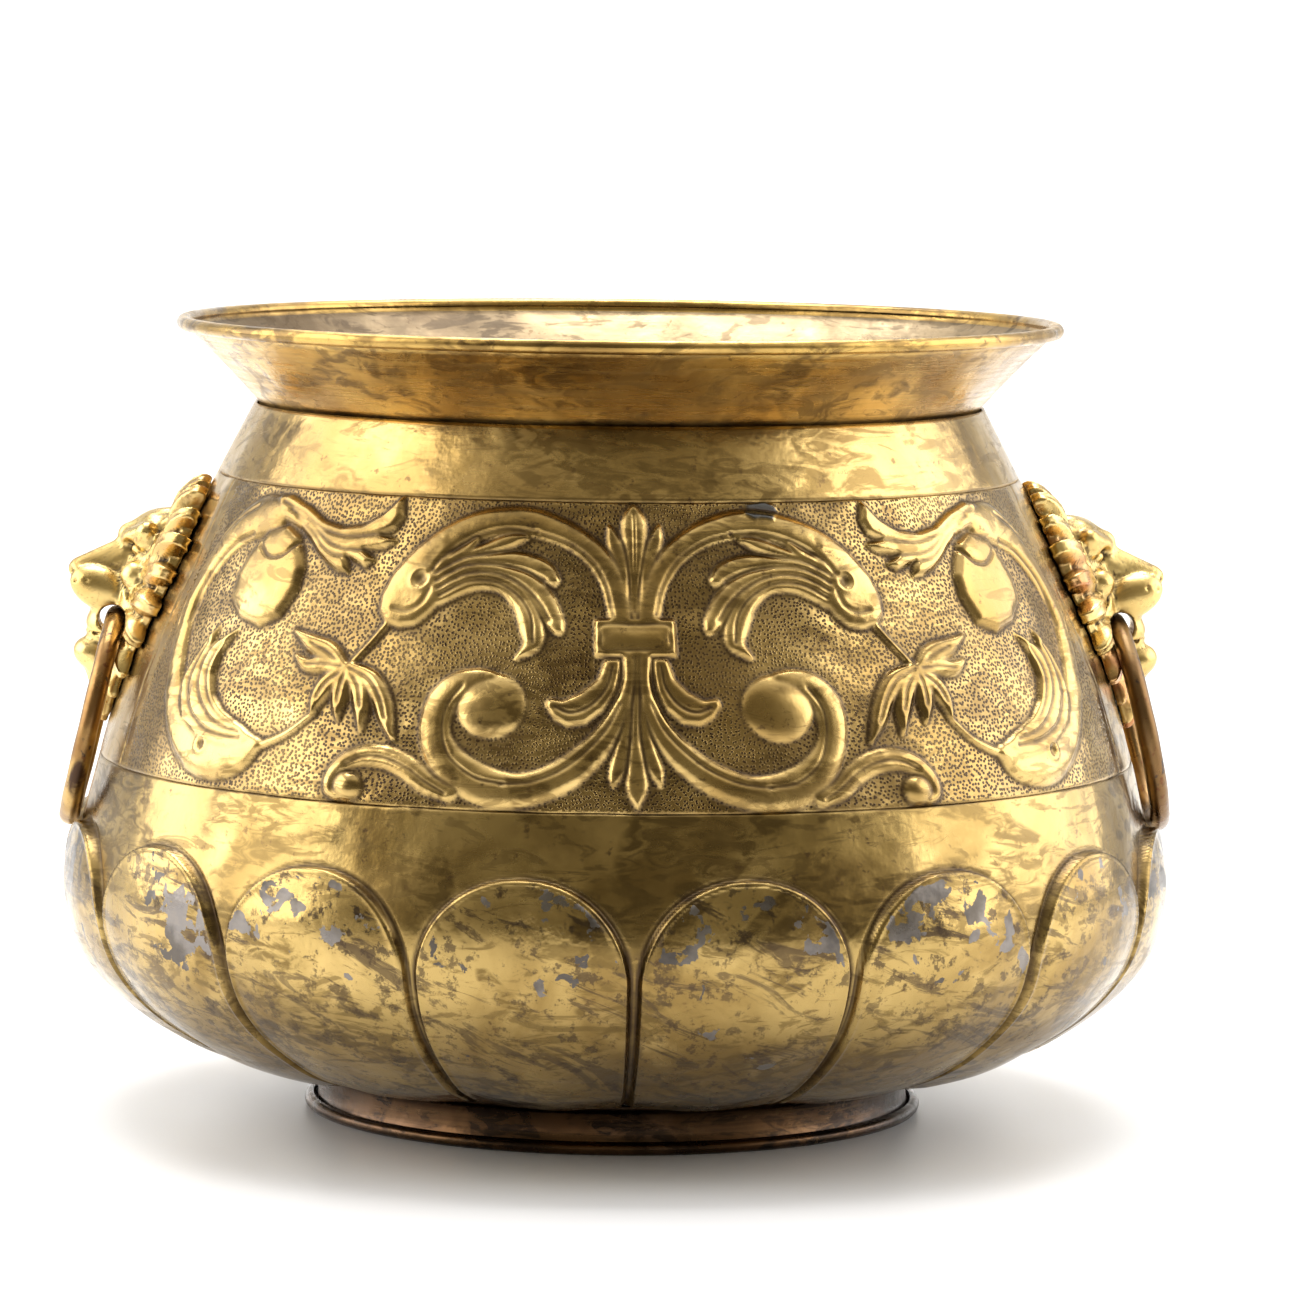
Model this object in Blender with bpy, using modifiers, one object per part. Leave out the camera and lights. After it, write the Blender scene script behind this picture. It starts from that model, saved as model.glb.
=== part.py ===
"""Brass planter pot: a raised bowl with a flared collar, a spun foot and two lion-mask ring handles.

Metres, +Z up. The origin is on the floor at the pot's centre, and the masks stand at +X and -X.
Each mask is a hollow casting held by two studs with washers and nuts inside the bowl. Each drop
ring passes through a bore behind the lion's mouth and swings outwards about it.
"""

import math

import bmesh
import bpy
from mathutils import Matrix

# ---- driving dimensions -------------------------------------------------------------------
STEPS = 64  # facets round every turned piece, so that neighbours' facets line up
GAP = 0.0003  # left between pieces that touch
LEANING_GAP = 0.00035  # the same gap measured level, where the wall leans
MERGE = 0.00001  # points this close are one
TRIM_SHEET = 0.0009  # sheet of the collar and the foot
BOWL_SHEET = 0.0012  # sheet of the bowl

# The bowl's outer surface between its pressed lobes, from the lip of its mouth to its centre.
BOWL_PROFILE = (
    (0.1395, 0.2712),
    (0.1505, 0.2500),
    (0.1606, 0.2300),
    (0.1701, 0.2100),
    (0.1796, 0.1900),
    (0.1881, 0.1700),
    (0.1944, 0.1500),
    (0.1997, 0.1300),
    (0.2040, 0.1136),
    (0.2068, 0.1020),
    (0.2082, 0.0900),
    (0.2068, 0.0780),
    (0.2019, 0.0650),
    (0.1915, 0.0520),
    (0.1752, 0.0395),
    (0.1560, 0.0295),
    (0.1246, 0.0204),
    (0.1080, 0.0185),
    (0.0000, 0.0185),
)
LOBES = 16
LOBE_STEP = 0.0030  # how far a lobe stands out at its edge
LOBE_DOME = 0.0015  # and how much more at its middle
LOBE_TOP = 0.1136
LOBE_SPRING = 0.0773  # the height at which a lobe's straight sides become its round top
LOBE_FOOT = 0.0204
LOBE_FADE = 0.03  # the height over which a lobe rises out of the bowl's bottom
LOBE_EDGE = 0.35  # the share of a lobe's half width that its edge takes to rise

COLLAR_SKIRT_OUTER = 0.1378
COLLAR_SKIRT_BOTTOM = 0.2630
COLLAR_BEND_HEIGHT = 0.2714
COLLAR_CONE_TOP = (0.1640, 0.2987)
RIM_CENTRE = (0.1668, 0.3013)
RIM_BEAD = 0.00265

FOOT_LIP = (0.1172, 0.0182)
FOOT_WAIST = ((0.1136, 0.0148), (0.1128, 0.0100))
FOOT_BEAD = 0.0025
FOOT_BEAD_CENTRE_R = 0.1162
BEAD_SIDES = 8

# The wall behind a mask: its centre, and how far it leans back from upright.
MASK_SEAT = (0.1768, 0.1950)
MASK_TILT = math.radians(23.2)
MASK_HALF_WIDTH = 0.038
MASK_HALF_HEIGHT = 0.0525
MASK_PLATE_FRONT = 0.0042
MASK_PLATE_BACK = -0.0090
MASK_EGG = 0.18  # how much wider the outline is above its middle than below
MASK_EASE = 0.0012
MANE_LOCKS = 18
MANE_LOCK_SHARE = 0.03

RING_AXIS = (0.1920, 0.1880)
RING_MEAN = 0.039
RING_WIRE = 0.004
RING_LEAN = math.radians(13.0)  # off plumb, where the ring rests on the bowl
BORE_CENTRE = (0.0120, -0.0132)  # out from the wall and up it, in the mask's own frame
BORE_RADIUS = 0.0055

STUD_RADIUS = 0.0020
STUD_HEIGHTS = (0.0380, -0.0360)  # up the wall from the mask's centre
STUD_IN_MASK = 0.0010
STUD_INSIDE = 0.0095
WASHER_RADIUS = 0.0060
WASHER_THICK = 0.0010
NUT_ACROSS = 0.0080
NUT_THICK = 0.0034
SEAT_SLACK = 0.0009  # the flat washer's stand-off from the hollow side of the bowl
DRILL_REACH = 0.03  # how far a drilling cutter runs past what it cuts
SMOOTH_ANGLE = 35.0

# ---- scene and materials ------------------------------------------------------------------


def clear_scene():
    for obj in list(bpy.data.objects):
        bpy.data.objects.remove(obj, do_unlink=True)


def new_collection(name):
    collection = bpy.data.collections.new(name)
    bpy.context.scene.collection.children.link(collection)
    return collection


def metal(name, colour, roughness):
    material = bpy.data.materials.new(name)
    material.use_nodes = True
    shader = material.node_tree.nodes["Principled BSDF"]
    shader.inputs["Base Color"].default_value = (*colour, 1.0)
    shader.inputs["Roughness"].default_value = roughness
    shader.inputs["Metallic"].default_value = 1.0
    return material


clear_scene()
PARTS = new_collection("brass_planter_pot")
CUTTERS = new_collection("cutters")
BODY_BRASS = metal("body_brass", (0.60, 0.43, 0.16), 0.32)
FOOT_BRASS = metal("foot_brass", (0.45, 0.27, 0.12), 0.38)
CAST_BRASS = metal("cast_brass", (0.66, 0.47, 0.17), 0.28)
RING_BRASS = metal("ring_brass", (0.42, 0.24, 0.08), 0.35)
IRON = metal("iron_wire", (0.18, 0.15, 0.13), 0.55)
FASTENER_BRASS = metal("fastener_brass", (0.50, 0.36, 0.15), 0.40)

# ---- shared modelling steps ---------------------------------------------------------------


def add_object(name, mesh, material=None):
    """An object in the parts collection, or a hidden cutter when it has no material."""
    obj = bpy.data.objects.new(name, mesh)
    if material is None:
        CUTTERS.objects.link(obj)
        obj.hide_render = True
        obj.display_type = "WIRE"
    else:
        PARTS.objects.link(obj)
        mesh.materials.append(material)
    return obj


def from_bmesh(name, bm, material=None):
    mesh = bpy.data.meshes.new(name)
    bm.to_mesh(mesh)
    bm.free()
    return add_object(name, mesh, material)


def bake(obj):
    """Swap an object's modifiers for the mesh that they give."""
    graph = bpy.context.evaluated_depsgraph_get()
    mesh = bpy.data.meshes.new_from_object(obj.evaluated_get(graph))
    obj.modifiers.clear()
    obj.data = mesh
    return obj


def turn(name, profile, material=None):
    """A profile of (radius, height) points turned about Z. It runs down its outer side."""
    bm = bmesh.new()
    verts = [bm.verts.new((radius, 0.0, height)) for radius, height in profile]
    for start, end in zip(verts, verts[1:]):
        bm.edges.new((start, end))
    obj = from_bmesh(name, bm, material)
    screw = obj.modifiers.new("turn", "SCREW")
    screw.steps = STEPS
    screw.render_steps = STEPS
    screw.use_merge_vertices = True
    screw.merge_threshold = MERGE
    return obj


def thicken(obj, thickness, offset):
    shell = obj.modifiers.new("sheet", "SOLIDIFY")
    shell.thickness = thickness
    shell.offset = offset
    shell.use_even_offset = True


def arc(centre, radius, start, end, count):
    """Points on an arc, its angles in degrees from straight out, both ends included."""
    points = []
    for i in range(count):
        angle = math.radians(start + (end - start) * i / (count - 1))
        points.append((centre[0] + radius * math.cos(angle), centre[1] + radius * math.sin(angle)))
    return points


def combine(obj, other, operation, solver="EXACT"):
    boolean = obj.modifiers.new(operation.lower() + "_" + other.name, "BOOLEAN")
    boolean.operation = operation
    boolean.solver = solver
    boolean.object = other


def smooth(obj, angle=SMOOTH_ANGLE):
    obj.data.shade_smooth()
    obj.data.set_sharp_from_angle(angle=math.radians(angle))


def cylinder(name, radius, low, high, sides, matrix, material=None):
    """A cylinder along its frame's Z, from low to high."""
    bm = bmesh.new()
    bmesh.ops.create_cone(
        bm, cap_ends=True, segments=sides, radius1=radius, radius2=radius, depth=high - low
    )
    bmesh.ops.translate(bm, verts=bm.verts, vec=(0.0, 0.0, (low + high) / 2))
    bmesh.ops.transform(bm, matrix=matrix, verts=bm.verts)
    return from_bmesh(name, bm, material)


def ellipsoid(name, centre, radii, matrix):
    bm = bmesh.new()
    bmesh.ops.create_uvsphere(bm, u_segments=12, v_segments=8, radius=1.0)
    bmesh.ops.scale(bm, verts=bm.verts, vec=radii)
    bmesh.ops.translate(bm, verts=bm.verts, vec=centre)
    bmesh.ops.transform(bm, matrix=matrix, verts=bm.verts)
    return from_bmesh(name, bm)


# ---- bowl ---------------------------------------------------------------------------------


def wall_radius(height):
    """The bowl's outer radius at a height above its foot, between the lobes."""
    for (upper_r, upper_z), (lower_r, lower_z) in zip(BOWL_PROFILE, BOWL_PROFILE[1:]):
        if lower_z <= height <= upper_z:
            share = (height - lower_z) / (upper_z - lower_z)
            return lower_r + share * (upper_r - lower_r)
    raise ValueError("no wall at this height")


def lobe_rise(angle, height):
    """How far the pressed lobes stand out of the plain bowl. They meet at every 360/16 degrees."""
    if not LOBE_FOOT < height < LOBE_TOP:
        return 0.0
    pitch = math.tau / LOBES
    from_middle = abs((angle % pitch) / pitch - 0.5) * 2
    half_width = 1.0
    if height > LOBE_SPRING:
        half_width = math.sqrt(1 - ((height - LOBE_SPRING) / (LOBE_TOP - LOBE_SPRING)) ** 2)
    inside = min(max((half_width - from_middle) / LOBE_EDGE, 0.0), 1.0)
    fade = min((height - LOBE_FOOT) / LOBE_FADE, 1.0)
    return fade * (LOBE_STEP * inside + LOBE_DOME * inside * (1 - from_middle**2))


def make_bowl():
    bowl = bake(turn("bowl", BOWL_PROFILE, BODY_BRASS))
    for vertex in bowl.data.vertices:
        radius = math.hypot(vertex.co.x, vertex.co.y)
        if radius > 0.0:
            rise = lobe_rise(math.atan2(vertex.co.y, vertex.co.x), vertex.co.z)
            vertex.co.x *= (radius + rise) / radius
            vertex.co.y *= (radius + rise) / radius
    thicken(bowl, BOWL_SHEET, -1.0)
    smooth(bowl)
    return bowl


def make_wall_cutter():
    """The space of the bowl and its gap, which the masks' backs are cut to."""
    wall = [(radius + LEANING_GAP, height) for radius, height in BOWL_PROFILE if height > LOBE_SPRING]
    return bake(turn("wall_cutter", [(0.0, wall[0][1]), *wall, (0.0, wall[-1][1])]))


# ---- collar, foot and the wires that stiffen their edges ------------------------------------


def make_collar():
    """A cone with a skirt inside the bowl's mouth. Its edge rolls inwards over the rim wire."""
    middle = RIM_BEAD - TRIM_SHEET / 2
    skirt = COLLAR_SKIRT_OUTER - TRIM_SHEET / 2
    profile = arc(RIM_CENTRE, middle, 190.0, -80.0, 7)
    profile += [COLLAR_CONE_TOP, (skirt, COLLAR_BEND_HEIGHT), (skirt, COLLAR_SKIRT_BOTTOM)]
    collar = turn("flared_collar", profile, BODY_BRASS)
    thicken(collar, TRIM_SHEET, 0.0)
    smooth(bake(collar))


def make_foot():
    """A waisted ring. Its lip is soldered under the bowl, and its lower edge rolls out over a wire."""
    middle = FOOT_BEAD - TRIM_SHEET / 2
    half_side = 180.0 / BEAD_SIDES
    centre = (FOOT_BEAD_CENTRE_R, TRIM_SHEET / 2 + middle * math.cos(math.radians(half_side)))
    roll = arc(centre, middle, 180.0 + half_side, 180.0 + half_side * (2 * BEAD_SIDES - 3), BEAD_SIDES - 1)
    foot = turn("foot_ring", [FOOT_LIP, *FOOT_WAIST, *roll], FOOT_BRASS)
    thicken(foot, TRIM_SHEET, 0.0)
    smooth(bake(foot))
    return centre


def make_edge_wire(name, centre, bead):
    radius = bead - TRIM_SHEET - GAP
    bm = bmesh.new()
    bpy.ops.mesh.primitive_torus_add(
        major_segments=STEPS, minor_segments=6, major_radius=centre[0], minor_radius=radius
    )
    torus = bpy.context.object
    bm.from_mesh(torus.data)
    bpy.data.objects.remove(torus, do_unlink=True)
    bmesh.ops.translate(bm, verts=bm.verts, vec=(0.0, 0.0, centre[1]))
    smooth(from_bmesh(name, bm, IRON), 80.0)


# ---- lion masks -----------------------------------------------------------------------------

# Every size below is in the mask's own frame: across, up the wall and out from it.
LION_LUMPS = {
    "skull": ((0.0, 0.0140, 0.0030), (0.0240, 0.0240, 0.0170)),
    "mane_crest": ((0.0, 0.0420, 0.0010), (0.0180, 0.0105, 0.0072)),
    "brow": ((0.0, 0.0225, 0.0100), (0.0150, 0.0070, 0.0105)),
    "nose": ((0.0, 0.0035, 0.0180), (0.0105, 0.0110, 0.0172)),
    "lip_left": ((-0.0050, -0.0020, 0.0190), (0.0080, 0.0090, 0.0130)),
    "lip_right": ((0.0050, -0.0020, 0.0190), (0.0080, 0.0090, 0.0130)),
    "cheek_left": ((-0.0130, 0.0070, 0.0080), (0.0085, 0.0100, 0.0085)),
    "cheek_right": ((0.0130, 0.0070, 0.0080), (0.0085, 0.0100, 0.0085)),
    "throat": ((0.0, -0.0190, 0.0060), (0.0095, 0.0120, 0.0140)),
    "jaw": ((0.0, -0.0160, 0.0140), (0.0085, 0.0110, 0.0066)),
    "chin": ((0.0, -0.0260, 0.0140), (0.0080, 0.0065, 0.0076)),
}
HOLLOW = ((0.0, 0.0150, -0.0030), (0.0180, 0.0190, 0.0150))


def mask_frame():
    """Across, up the wall and out from it, as the right-hand mask's axes."""
    up = (-math.sin(MASK_TILT), 0.0, math.cos(MASK_TILT))
    out = (math.cos(MASK_TILT), 0.0, math.sin(MASK_TILT))
    rows = [[0.0, up[0], out[0], MASK_SEAT[0]], [1.0, up[1], out[1], 0.0]]
    rows += [[0.0, up[2], out[2], MASK_SEAT[1]], [0.0, 0.0, 0.0, 1.0]]
    return Matrix(rows)


def make_mane_plate(frame):
    """A flat egg-shaped outline with the locks of the mane as scallops, extruded and eased."""
    outline = bpy.data.curves.new("mane_plate", "CURVE")
    outline.dimensions = "2D"
    outline.fill_mode = "BOTH"
    outline.extrude = (MASK_PLATE_FRONT - MASK_PLATE_BACK) / 2 - MASK_EASE
    outline.bevel_depth = MASK_EASE
    outline.bevel_resolution = 0
    outline.offset = -MASK_EASE
    spline = outline.splines.new("POLY")
    count = MANE_LOCKS * 3
    spline.points.add(count - 1)
    for i, point in enumerate(spline.points):
        angle = math.tau * i / count
        lock = 1 + MANE_LOCK_SHARE * math.cos(MANE_LOCKS * angle)
        across = MASK_HALF_WIDTH * math.sin(angle) * (1 + MASK_EGG * math.cos(angle)) * lock
        up = MASK_HALF_HEIGHT * math.cos(angle) * lock
        point.co = (across, up, 0.0, 1.0)
    spline.use_cyclic_u = True
    curve = bpy.data.objects.new("mane_plate_outline", outline)
    CUTTERS.objects.link(curve)
    bpy.context.view_layer.update()
    graph = bpy.context.evaluated_depsgraph_get()
    mesh = bpy.data.meshes.new_from_object(curve.evaluated_get(graph))
    bpy.data.objects.remove(curve, do_unlink=True)
    bm = bmesh.new()
    bm.from_mesh(mesh)
    bmesh.ops.remove_doubles(bm, verts=bm.verts, dist=MERGE)
    bmesh.ops.recalc_face_normals(bm, faces=bm.faces)
    bmesh.ops.translate(bm, verts=bm.verts, vec=(0.0, 0.0, (MASK_PLATE_FRONT + MASK_PLATE_BACK) / 2))
    bmesh.ops.transform(bm, matrix=frame, verts=bm.verts)
    return from_bmesh("lion_mask_right", bm, CAST_BRASS)


def make_mask(frame, wall_cutter):
    """The right-hand mask. Its lumps share a plane of symmetry, which the exact solver trips on."""
    mask = make_mane_plate(frame)
    across = Matrix.Rotation(math.radians(90), 4, "Y")
    bore = frame @ Matrix.Translation((0.0, BORE_CENTRE[1], BORE_CENTRE[0])) @ across
    cutters = [wall_cutter, ellipsoid("mask_hollow", *HOLLOW, frame)]
    cutters.append(cylinder("ring_bore", BORE_RADIUS, -DRILL_REACH, DRILL_REACH, 16, bore))
    for i, height in enumerate(STUD_HEIGHTS):
        place = frame @ Matrix.Translation((0.0, height, 0.0))
        end = STUD_IN_MASK + GAP
        cutters.append(cylinder(f"mask_hole_{i}", STUD_RADIUS + GAP, -DRILL_REACH, end, 10, place))
    for name, (centre, radii) in LION_LUMPS.items():
        combine(mask, ellipsoid(name, centre, radii, frame), "UNION", "MANIFOLD")
    for cutter in cutters:
        combine(mask, cutter, "DIFFERENCE", "MANIFOLD")
    smooth(bake(mask))
    return mask


# ---- rings and fasteners ----------------------------------------------------------------------


def make_ring():
    """A drop ring whose origin is on its swing axis. It hangs below it, leaning out from the wall."""
    bpy.ops.mesh.primitive_torus_add(
        major_segments=40, minor_segments=8, major_radius=RING_MEAN, minor_radius=RING_WIRE
    )
    ring = bpy.context.object
    bpy.context.collection.objects.unlink(ring)
    PARTS.objects.link(ring)
    ring.name = "ring_right"
    ring.data.materials.append(RING_BRASS)
    upright = Matrix.Translation((0.0, 0.0, -RING_MEAN)) @ Matrix.Rotation(math.radians(90), 4, "Y")
    ring.data.transform(Matrix.Rotation(-RING_LEAN, 4, "Y") @ upright)
    ring.location = (RING_AXIS[0], 0.0, RING_AXIS[1])
    smooth(ring, 80.0)
    return ring


def inner_wall_height(frame, height):
    """How far out from the mask's seat the bowl's inner face is, on the stud at this height."""
    low, high = -0.02, 0.01
    for _ in range(40):
        middle = (low + high) / 2
        point = frame @ Matrix.Translation((0.0, height, middle)).translation
        if point.x > wall_radius(point.z) - BOWL_SHEET:
            high = middle
        else:
            low = middle
    return low


def make_fasteners(frame, bowl):
    """For each stud: the stud, its washer and its square nut, and the holes through the bowl."""
    made = []
    names = ("upper", "lower")
    for name, height in zip(names, STUD_HEIGHTS):
        place = frame @ Matrix.Translation((0.0, height, 0.0))
        seat = inner_wall_height(frame, height) - SEAT_SLACK
        end = seat - STUD_INSIDE
        stud = cylinder(f"stud_{name}_right", STUD_RADIUS, end, STUD_IN_MASK, 10, place, FASTENER_BRASS)
        end = seat - WASHER_THICK
        washer = cylinder(f"washer_{name}_right", WASHER_RADIUS, end, seat, 20, place, FASTENER_BRASS)
        corner = NUT_ACROSS / math.sqrt(2)
        nut_end = end - GAP - NUT_THICK
        nut = cylinder(f"nut_{name}_right", corner, nut_end, end - GAP, 4, place, FASTENER_BRASS)
        for side, turned_by in (("right", 0.0), ("left", math.pi)):
            there = Matrix.Rotation(turned_by, 4, "Z") @ place
            reach = DRILL_REACH
            drill = cylinder(f"drill_{name}_{side}", STUD_RADIUS + GAP, -reach, reach, 10, there)
            for piece in (bowl, washer, nut) if side == "right" else (bowl,):
                combine(piece, drill, "DIFFERENCE")
        bake(washer)
        bake(nut)
        made += [stud, washer, nut]
    for piece in made:
        smooth(piece)
    return made


def copy_to_left(pieces):
    """The same pieces turned half round the pot, each its own object on the same mesh."""
    for piece in pieces:
        other = piece.copy()
        other.name = piece.name.replace("right", "left")
        half_turn = Matrix.Rotation(math.pi, 4, "Z")
        other.matrix_world = half_turn @ Matrix.Translation(piece.location)
        PARTS.objects.link(other)


bowl_object = make_bowl()
make_collar()
foot_bead_centre = make_foot()
make_edge_wire("rim_wire", RIM_CENTRE, RIM_BEAD)
make_edge_wire("foot_wire", foot_bead_centre, FOOT_BEAD)
seat_frame = mask_frame()
mask_object = make_mask(seat_frame, make_wall_cutter())
copy_to_left([mask_object, make_ring(), *make_fasteners(seat_frame, bowl_object)])
bake(bowl_object)
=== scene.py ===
"""Looks of the brass planter pot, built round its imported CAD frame.

The bowl is shown by two relief shells (the band and the lobes), a shoulder and a bottom. The collar and
the foot are turned finely, the lion masks are carved from distance fields, and the rings are bent rods.
Metres, +Z up, the front at -Y. Relief is laid out in millimetres: across from the panel's axis, up along
the wall.
"""

import math

import bpy
import numpy as np
from mathutils import Matrix, Vector


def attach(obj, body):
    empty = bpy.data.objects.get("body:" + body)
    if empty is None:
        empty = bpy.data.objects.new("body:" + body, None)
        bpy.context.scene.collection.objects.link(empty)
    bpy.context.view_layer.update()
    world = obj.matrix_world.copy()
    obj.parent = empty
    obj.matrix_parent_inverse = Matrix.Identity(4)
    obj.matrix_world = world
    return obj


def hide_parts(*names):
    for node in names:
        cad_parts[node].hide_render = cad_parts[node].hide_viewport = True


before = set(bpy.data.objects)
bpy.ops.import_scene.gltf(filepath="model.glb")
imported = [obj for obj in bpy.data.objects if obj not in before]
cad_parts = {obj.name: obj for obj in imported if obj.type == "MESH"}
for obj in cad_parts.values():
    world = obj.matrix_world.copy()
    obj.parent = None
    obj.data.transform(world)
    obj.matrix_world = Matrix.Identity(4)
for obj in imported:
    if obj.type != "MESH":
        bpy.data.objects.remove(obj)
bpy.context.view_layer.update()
MM = 0.001

# ---- shapes shared with the CAD part ------------------------------------------------------
BOWL_PROFILE = np.array(
    (
        (0.1395, 0.2712), (0.1505, 0.2500), (0.1606, 0.2300), (0.1701, 0.2100), (0.1796, 0.1900),
        (0.1881, 0.1700), (0.1944, 0.1500), (0.1997, 0.1300), (0.2040, 0.1136), (0.2068, 0.1020),
        (0.2082, 0.0900), (0.2068, 0.0780), (0.2019, 0.0650), (0.1915, 0.0520), (0.1752, 0.0395),
        (0.1560, 0.0295), (0.1246, 0.0204), (0.1080, 0.0185),
    )
)
BOWL_SHEET = 0.0012
TRIM_SHEET = 0.0009
BAND_TOP = 0.2448
BAND_BOTTOM = 0.1370
LOBES = 16
LOBE_TOP = 0.1136
LOBE_SPRING = 0.0773
LOBE_FOOT = 0.0204
BOTTOM_RADIUS = 0.1246
BOTTOM_HEIGHT = 0.0185
MASK_SEAT = (0.1768, 0.1950)
MASK_TILT = math.radians(23.2)
MASK_HALF_WIDTH = 38.0
MASK_HALF_HEIGHT = 52.5
MASK_GAP = 0.35  # millimetres between the mask's back and the wall
RING_AXIS = (0.1920, 0.1880)
RING_MEAN = 0.039
RING_WIRE = 0.004
RING_LEAN = math.radians(13.0)
RING_SWING = 118  # degrees kept clear of the mask: the joint's range and a little each side
BORE = (12.0, -13.2)  # millimetres in the mask: out of the wall, up along it
BORE_RADIUS = 5.5
RIM_CENTRE = (0.1668, 0.3013)
RIM_BEAD = 0.00265
PANEL_RADIUS = 178.0  # millimetres: the radius at which the band's drawing keeps its width


# ---- curves -------------------------------------------------------------------------------
def curve_through(rows, steps=6):
    """A smooth curve through rows, each row a place and whatever goes with it."""
    p = np.asarray(rows, float)
    padded = np.vstack([2 * p[0] - p[1], p, 2 * p[-1] - p[-2]])
    made = []
    for a, b, c, d in zip(padded, padded[1:], padded[2:], padded[3:]):
        for t in np.arange(steps) / steps:
            cubic = 3 * b - a - 3 * c + d
            made.append(0.5 * (2 * b + (c - a) * t + (2 * a - 5 * b + 4 * c - d) * t * t + cubic * t**3))
    made.append(p[-1])
    return np.array(made)


def evenly(line, spacing):
    """Points on a line at even spacing along it, and the length along it at each."""
    gone = np.concatenate([[0], np.cumsum(np.hypot(*np.diff(line, axis=0).T))])
    count = max(2, int(round(gone[-1] / spacing)) + 1)
    at = np.linspace(0, gone[-1], count)
    return np.stack([np.interp(at, gone, line[:, k]) for k in (0, 1)], 1), at


def normals_of(line):
    """The left-hand normals of a line of (radius, height) points."""
    along = np.gradient(line, axis=0)
    along /= np.hypot(*along.T)[:, None] + 1e-12
    return np.stack([-along[:, 1], along[:, 0]], 1)


BOWL_LINE = curve_through(BOWL_PROFILE, 12)


def bowl_between(z_high, z_low, spacing):
    """The bowl's plain outer line from one height down to another, at even spacing."""
    heights = BOWL_LINE[::-1, 1]
    radii = BOWL_LINE[::-1, 0]
    inside = BOWL_LINE[(BOWL_LINE[:, 1] < z_high) & (BOWL_LINE[:, 1] > z_low)]
    ends = [(np.interp(z, heights, radii), z) for z in (z_high, z_low)]
    return evenly(np.vstack([ends[0], inside, ends[1]]), spacing)


def wall_radius(z):
    """The bowl's plain outer radius at a height."""
    return np.interp(z, BOWL_LINE[::-1, 1], BOWL_LINE[::-1, 0])


# ---- meshes -------------------------------------------------------------------------------
def mesh_piece(name, points, quads, body, material, replaced=(), flat=None, values=None):
    """A piece from arrays of points and quads, with flat faces marked and a value layer for each key."""
    mesh = bpy.data.meshes.new(name)
    mesh.vertices.add(len(points))
    mesh.vertices.foreach_set("co", np.asarray(points, np.float32).ravel())
    mesh.loops.add(4 * len(quads))
    mesh.loops.foreach_set("vertex_index", quads.ravel().astype(np.int32))
    mesh.polygons.add(len(quads))
    mesh.polygons.foreach_set("loop_start", 4 * np.arange(len(quads), dtype=np.int32))
    mesh.update(calc_edges=True)
    mesh.validate()
    mesh.shade_smooth()
    if flat is not None:
        mark = mesh.attributes.get("sharp_face") or mesh.attributes.new("sharp_face", "BOOLEAN", "FACE")
        mark.data.foreach_set("value", np.asarray(flat, bool))
    for key, value in (values or {}).items():
        value = np.asarray(value, np.float32)
        is_vector = value.ndim == 2 and value.shape == (len(points), 3)
        layer = mesh.attributes.new(key, "FLOAT_VECTOR" if is_vector else "FLOAT", "POINT")
        layer.data.foreach_set("vector" if is_vector else "value", value.ravel())
    piece = bpy.data.objects.new(name, mesh)
    bpy.context.scene.collection.objects.link(piece)
    mesh.materials.append(material)
    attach(piece, body)
    if replaced:
        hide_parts(*replaced)
    return piece


def grid_faces(rows, columns, loop_rows, loop_columns):
    """Quads of a grid of points numbered row by row, closed in either direction or open."""
    r = np.arange(rows if loop_rows else rows - 1)[:, None]
    c = np.arange(columns if loop_columns else columns - 1)[None, :]
    below = (r + 1) % rows
    beside = (c + 1) % columns
    quads = [r * columns + c, r * columns + beside, below * columns + beside, below * columns + c]
    return np.stack(np.broadcast_arrays(*quads), -1).reshape(-1, 4)


def around(radii, heights, angles):
    """Points at radius and height arrays of rows by columns, turned to each column's angle."""
    return np.stack(
        [radii * np.sin(angles)[None, :], -radii * np.cos(angles)[None, :], heights * np.ones_like(radii)], -1
    )


def turned(name, loop, columns, material, replaced=(), wobble=0.0, values=None):
    """A full turn of a closed loop of (radius, height), with a slow wobble of the radius."""
    angles = np.arange(columns) * 2 * math.pi / columns
    waves = np.sin(2 * angles + 0.7) + 0.6 * np.sin(3 * angles + 2.1) + 0.4 * np.sin(7 * angles)
    swell = 1 + wobble * waves
    radii = loop[:, 0][:, None] * swell[None, :]
    heights = np.repeat(loop[:, 1][:, None], columns, 1)
    points = around(radii, heights, angles).reshape(-1, 3)
    quads = grid_faces(len(loop), columns, True, True)
    flat = np.zeros(len(quads), bool)
    filled = {key: np.repeat(np.asarray(v)[:, None], columns, 1) for key, v in (values or {}).items()}
    return mesh_piece(name, points, quads, "planter", material, replaced, flat, filled)


def blurred(field, times):
    """The field smoothed by that many passes of a three-point average each way."""
    for _ in range(times):
        field = field.copy()
        field[1:-1] = (field[:-2] + 2 * field[1:-1] + field[2:]) / 4
        field[:, 1:-1] = (field[:, :-2] + 2 * field[:, 1:-1] + field[:, 2:]) / 4
    return field


def sampled(field, x, y, pitch):
    """A field at fractional places, by linear interpolation."""
    x = np.clip(x / pitch, 0, field.shape[0] - 1.001)
    y = np.clip(y / pitch, 0, field.shape[1] - 1.001)
    i = x.astype(int)
    j = y.astype(int)
    u = x - i
    v = y - j
    low = field[i, j] * (1 - u) + field[i + 1, j] * u
    high = field[i, j + 1] * (1 - u) + field[i + 1, j + 1] * u
    return low * (1 - v) + high * v


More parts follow.
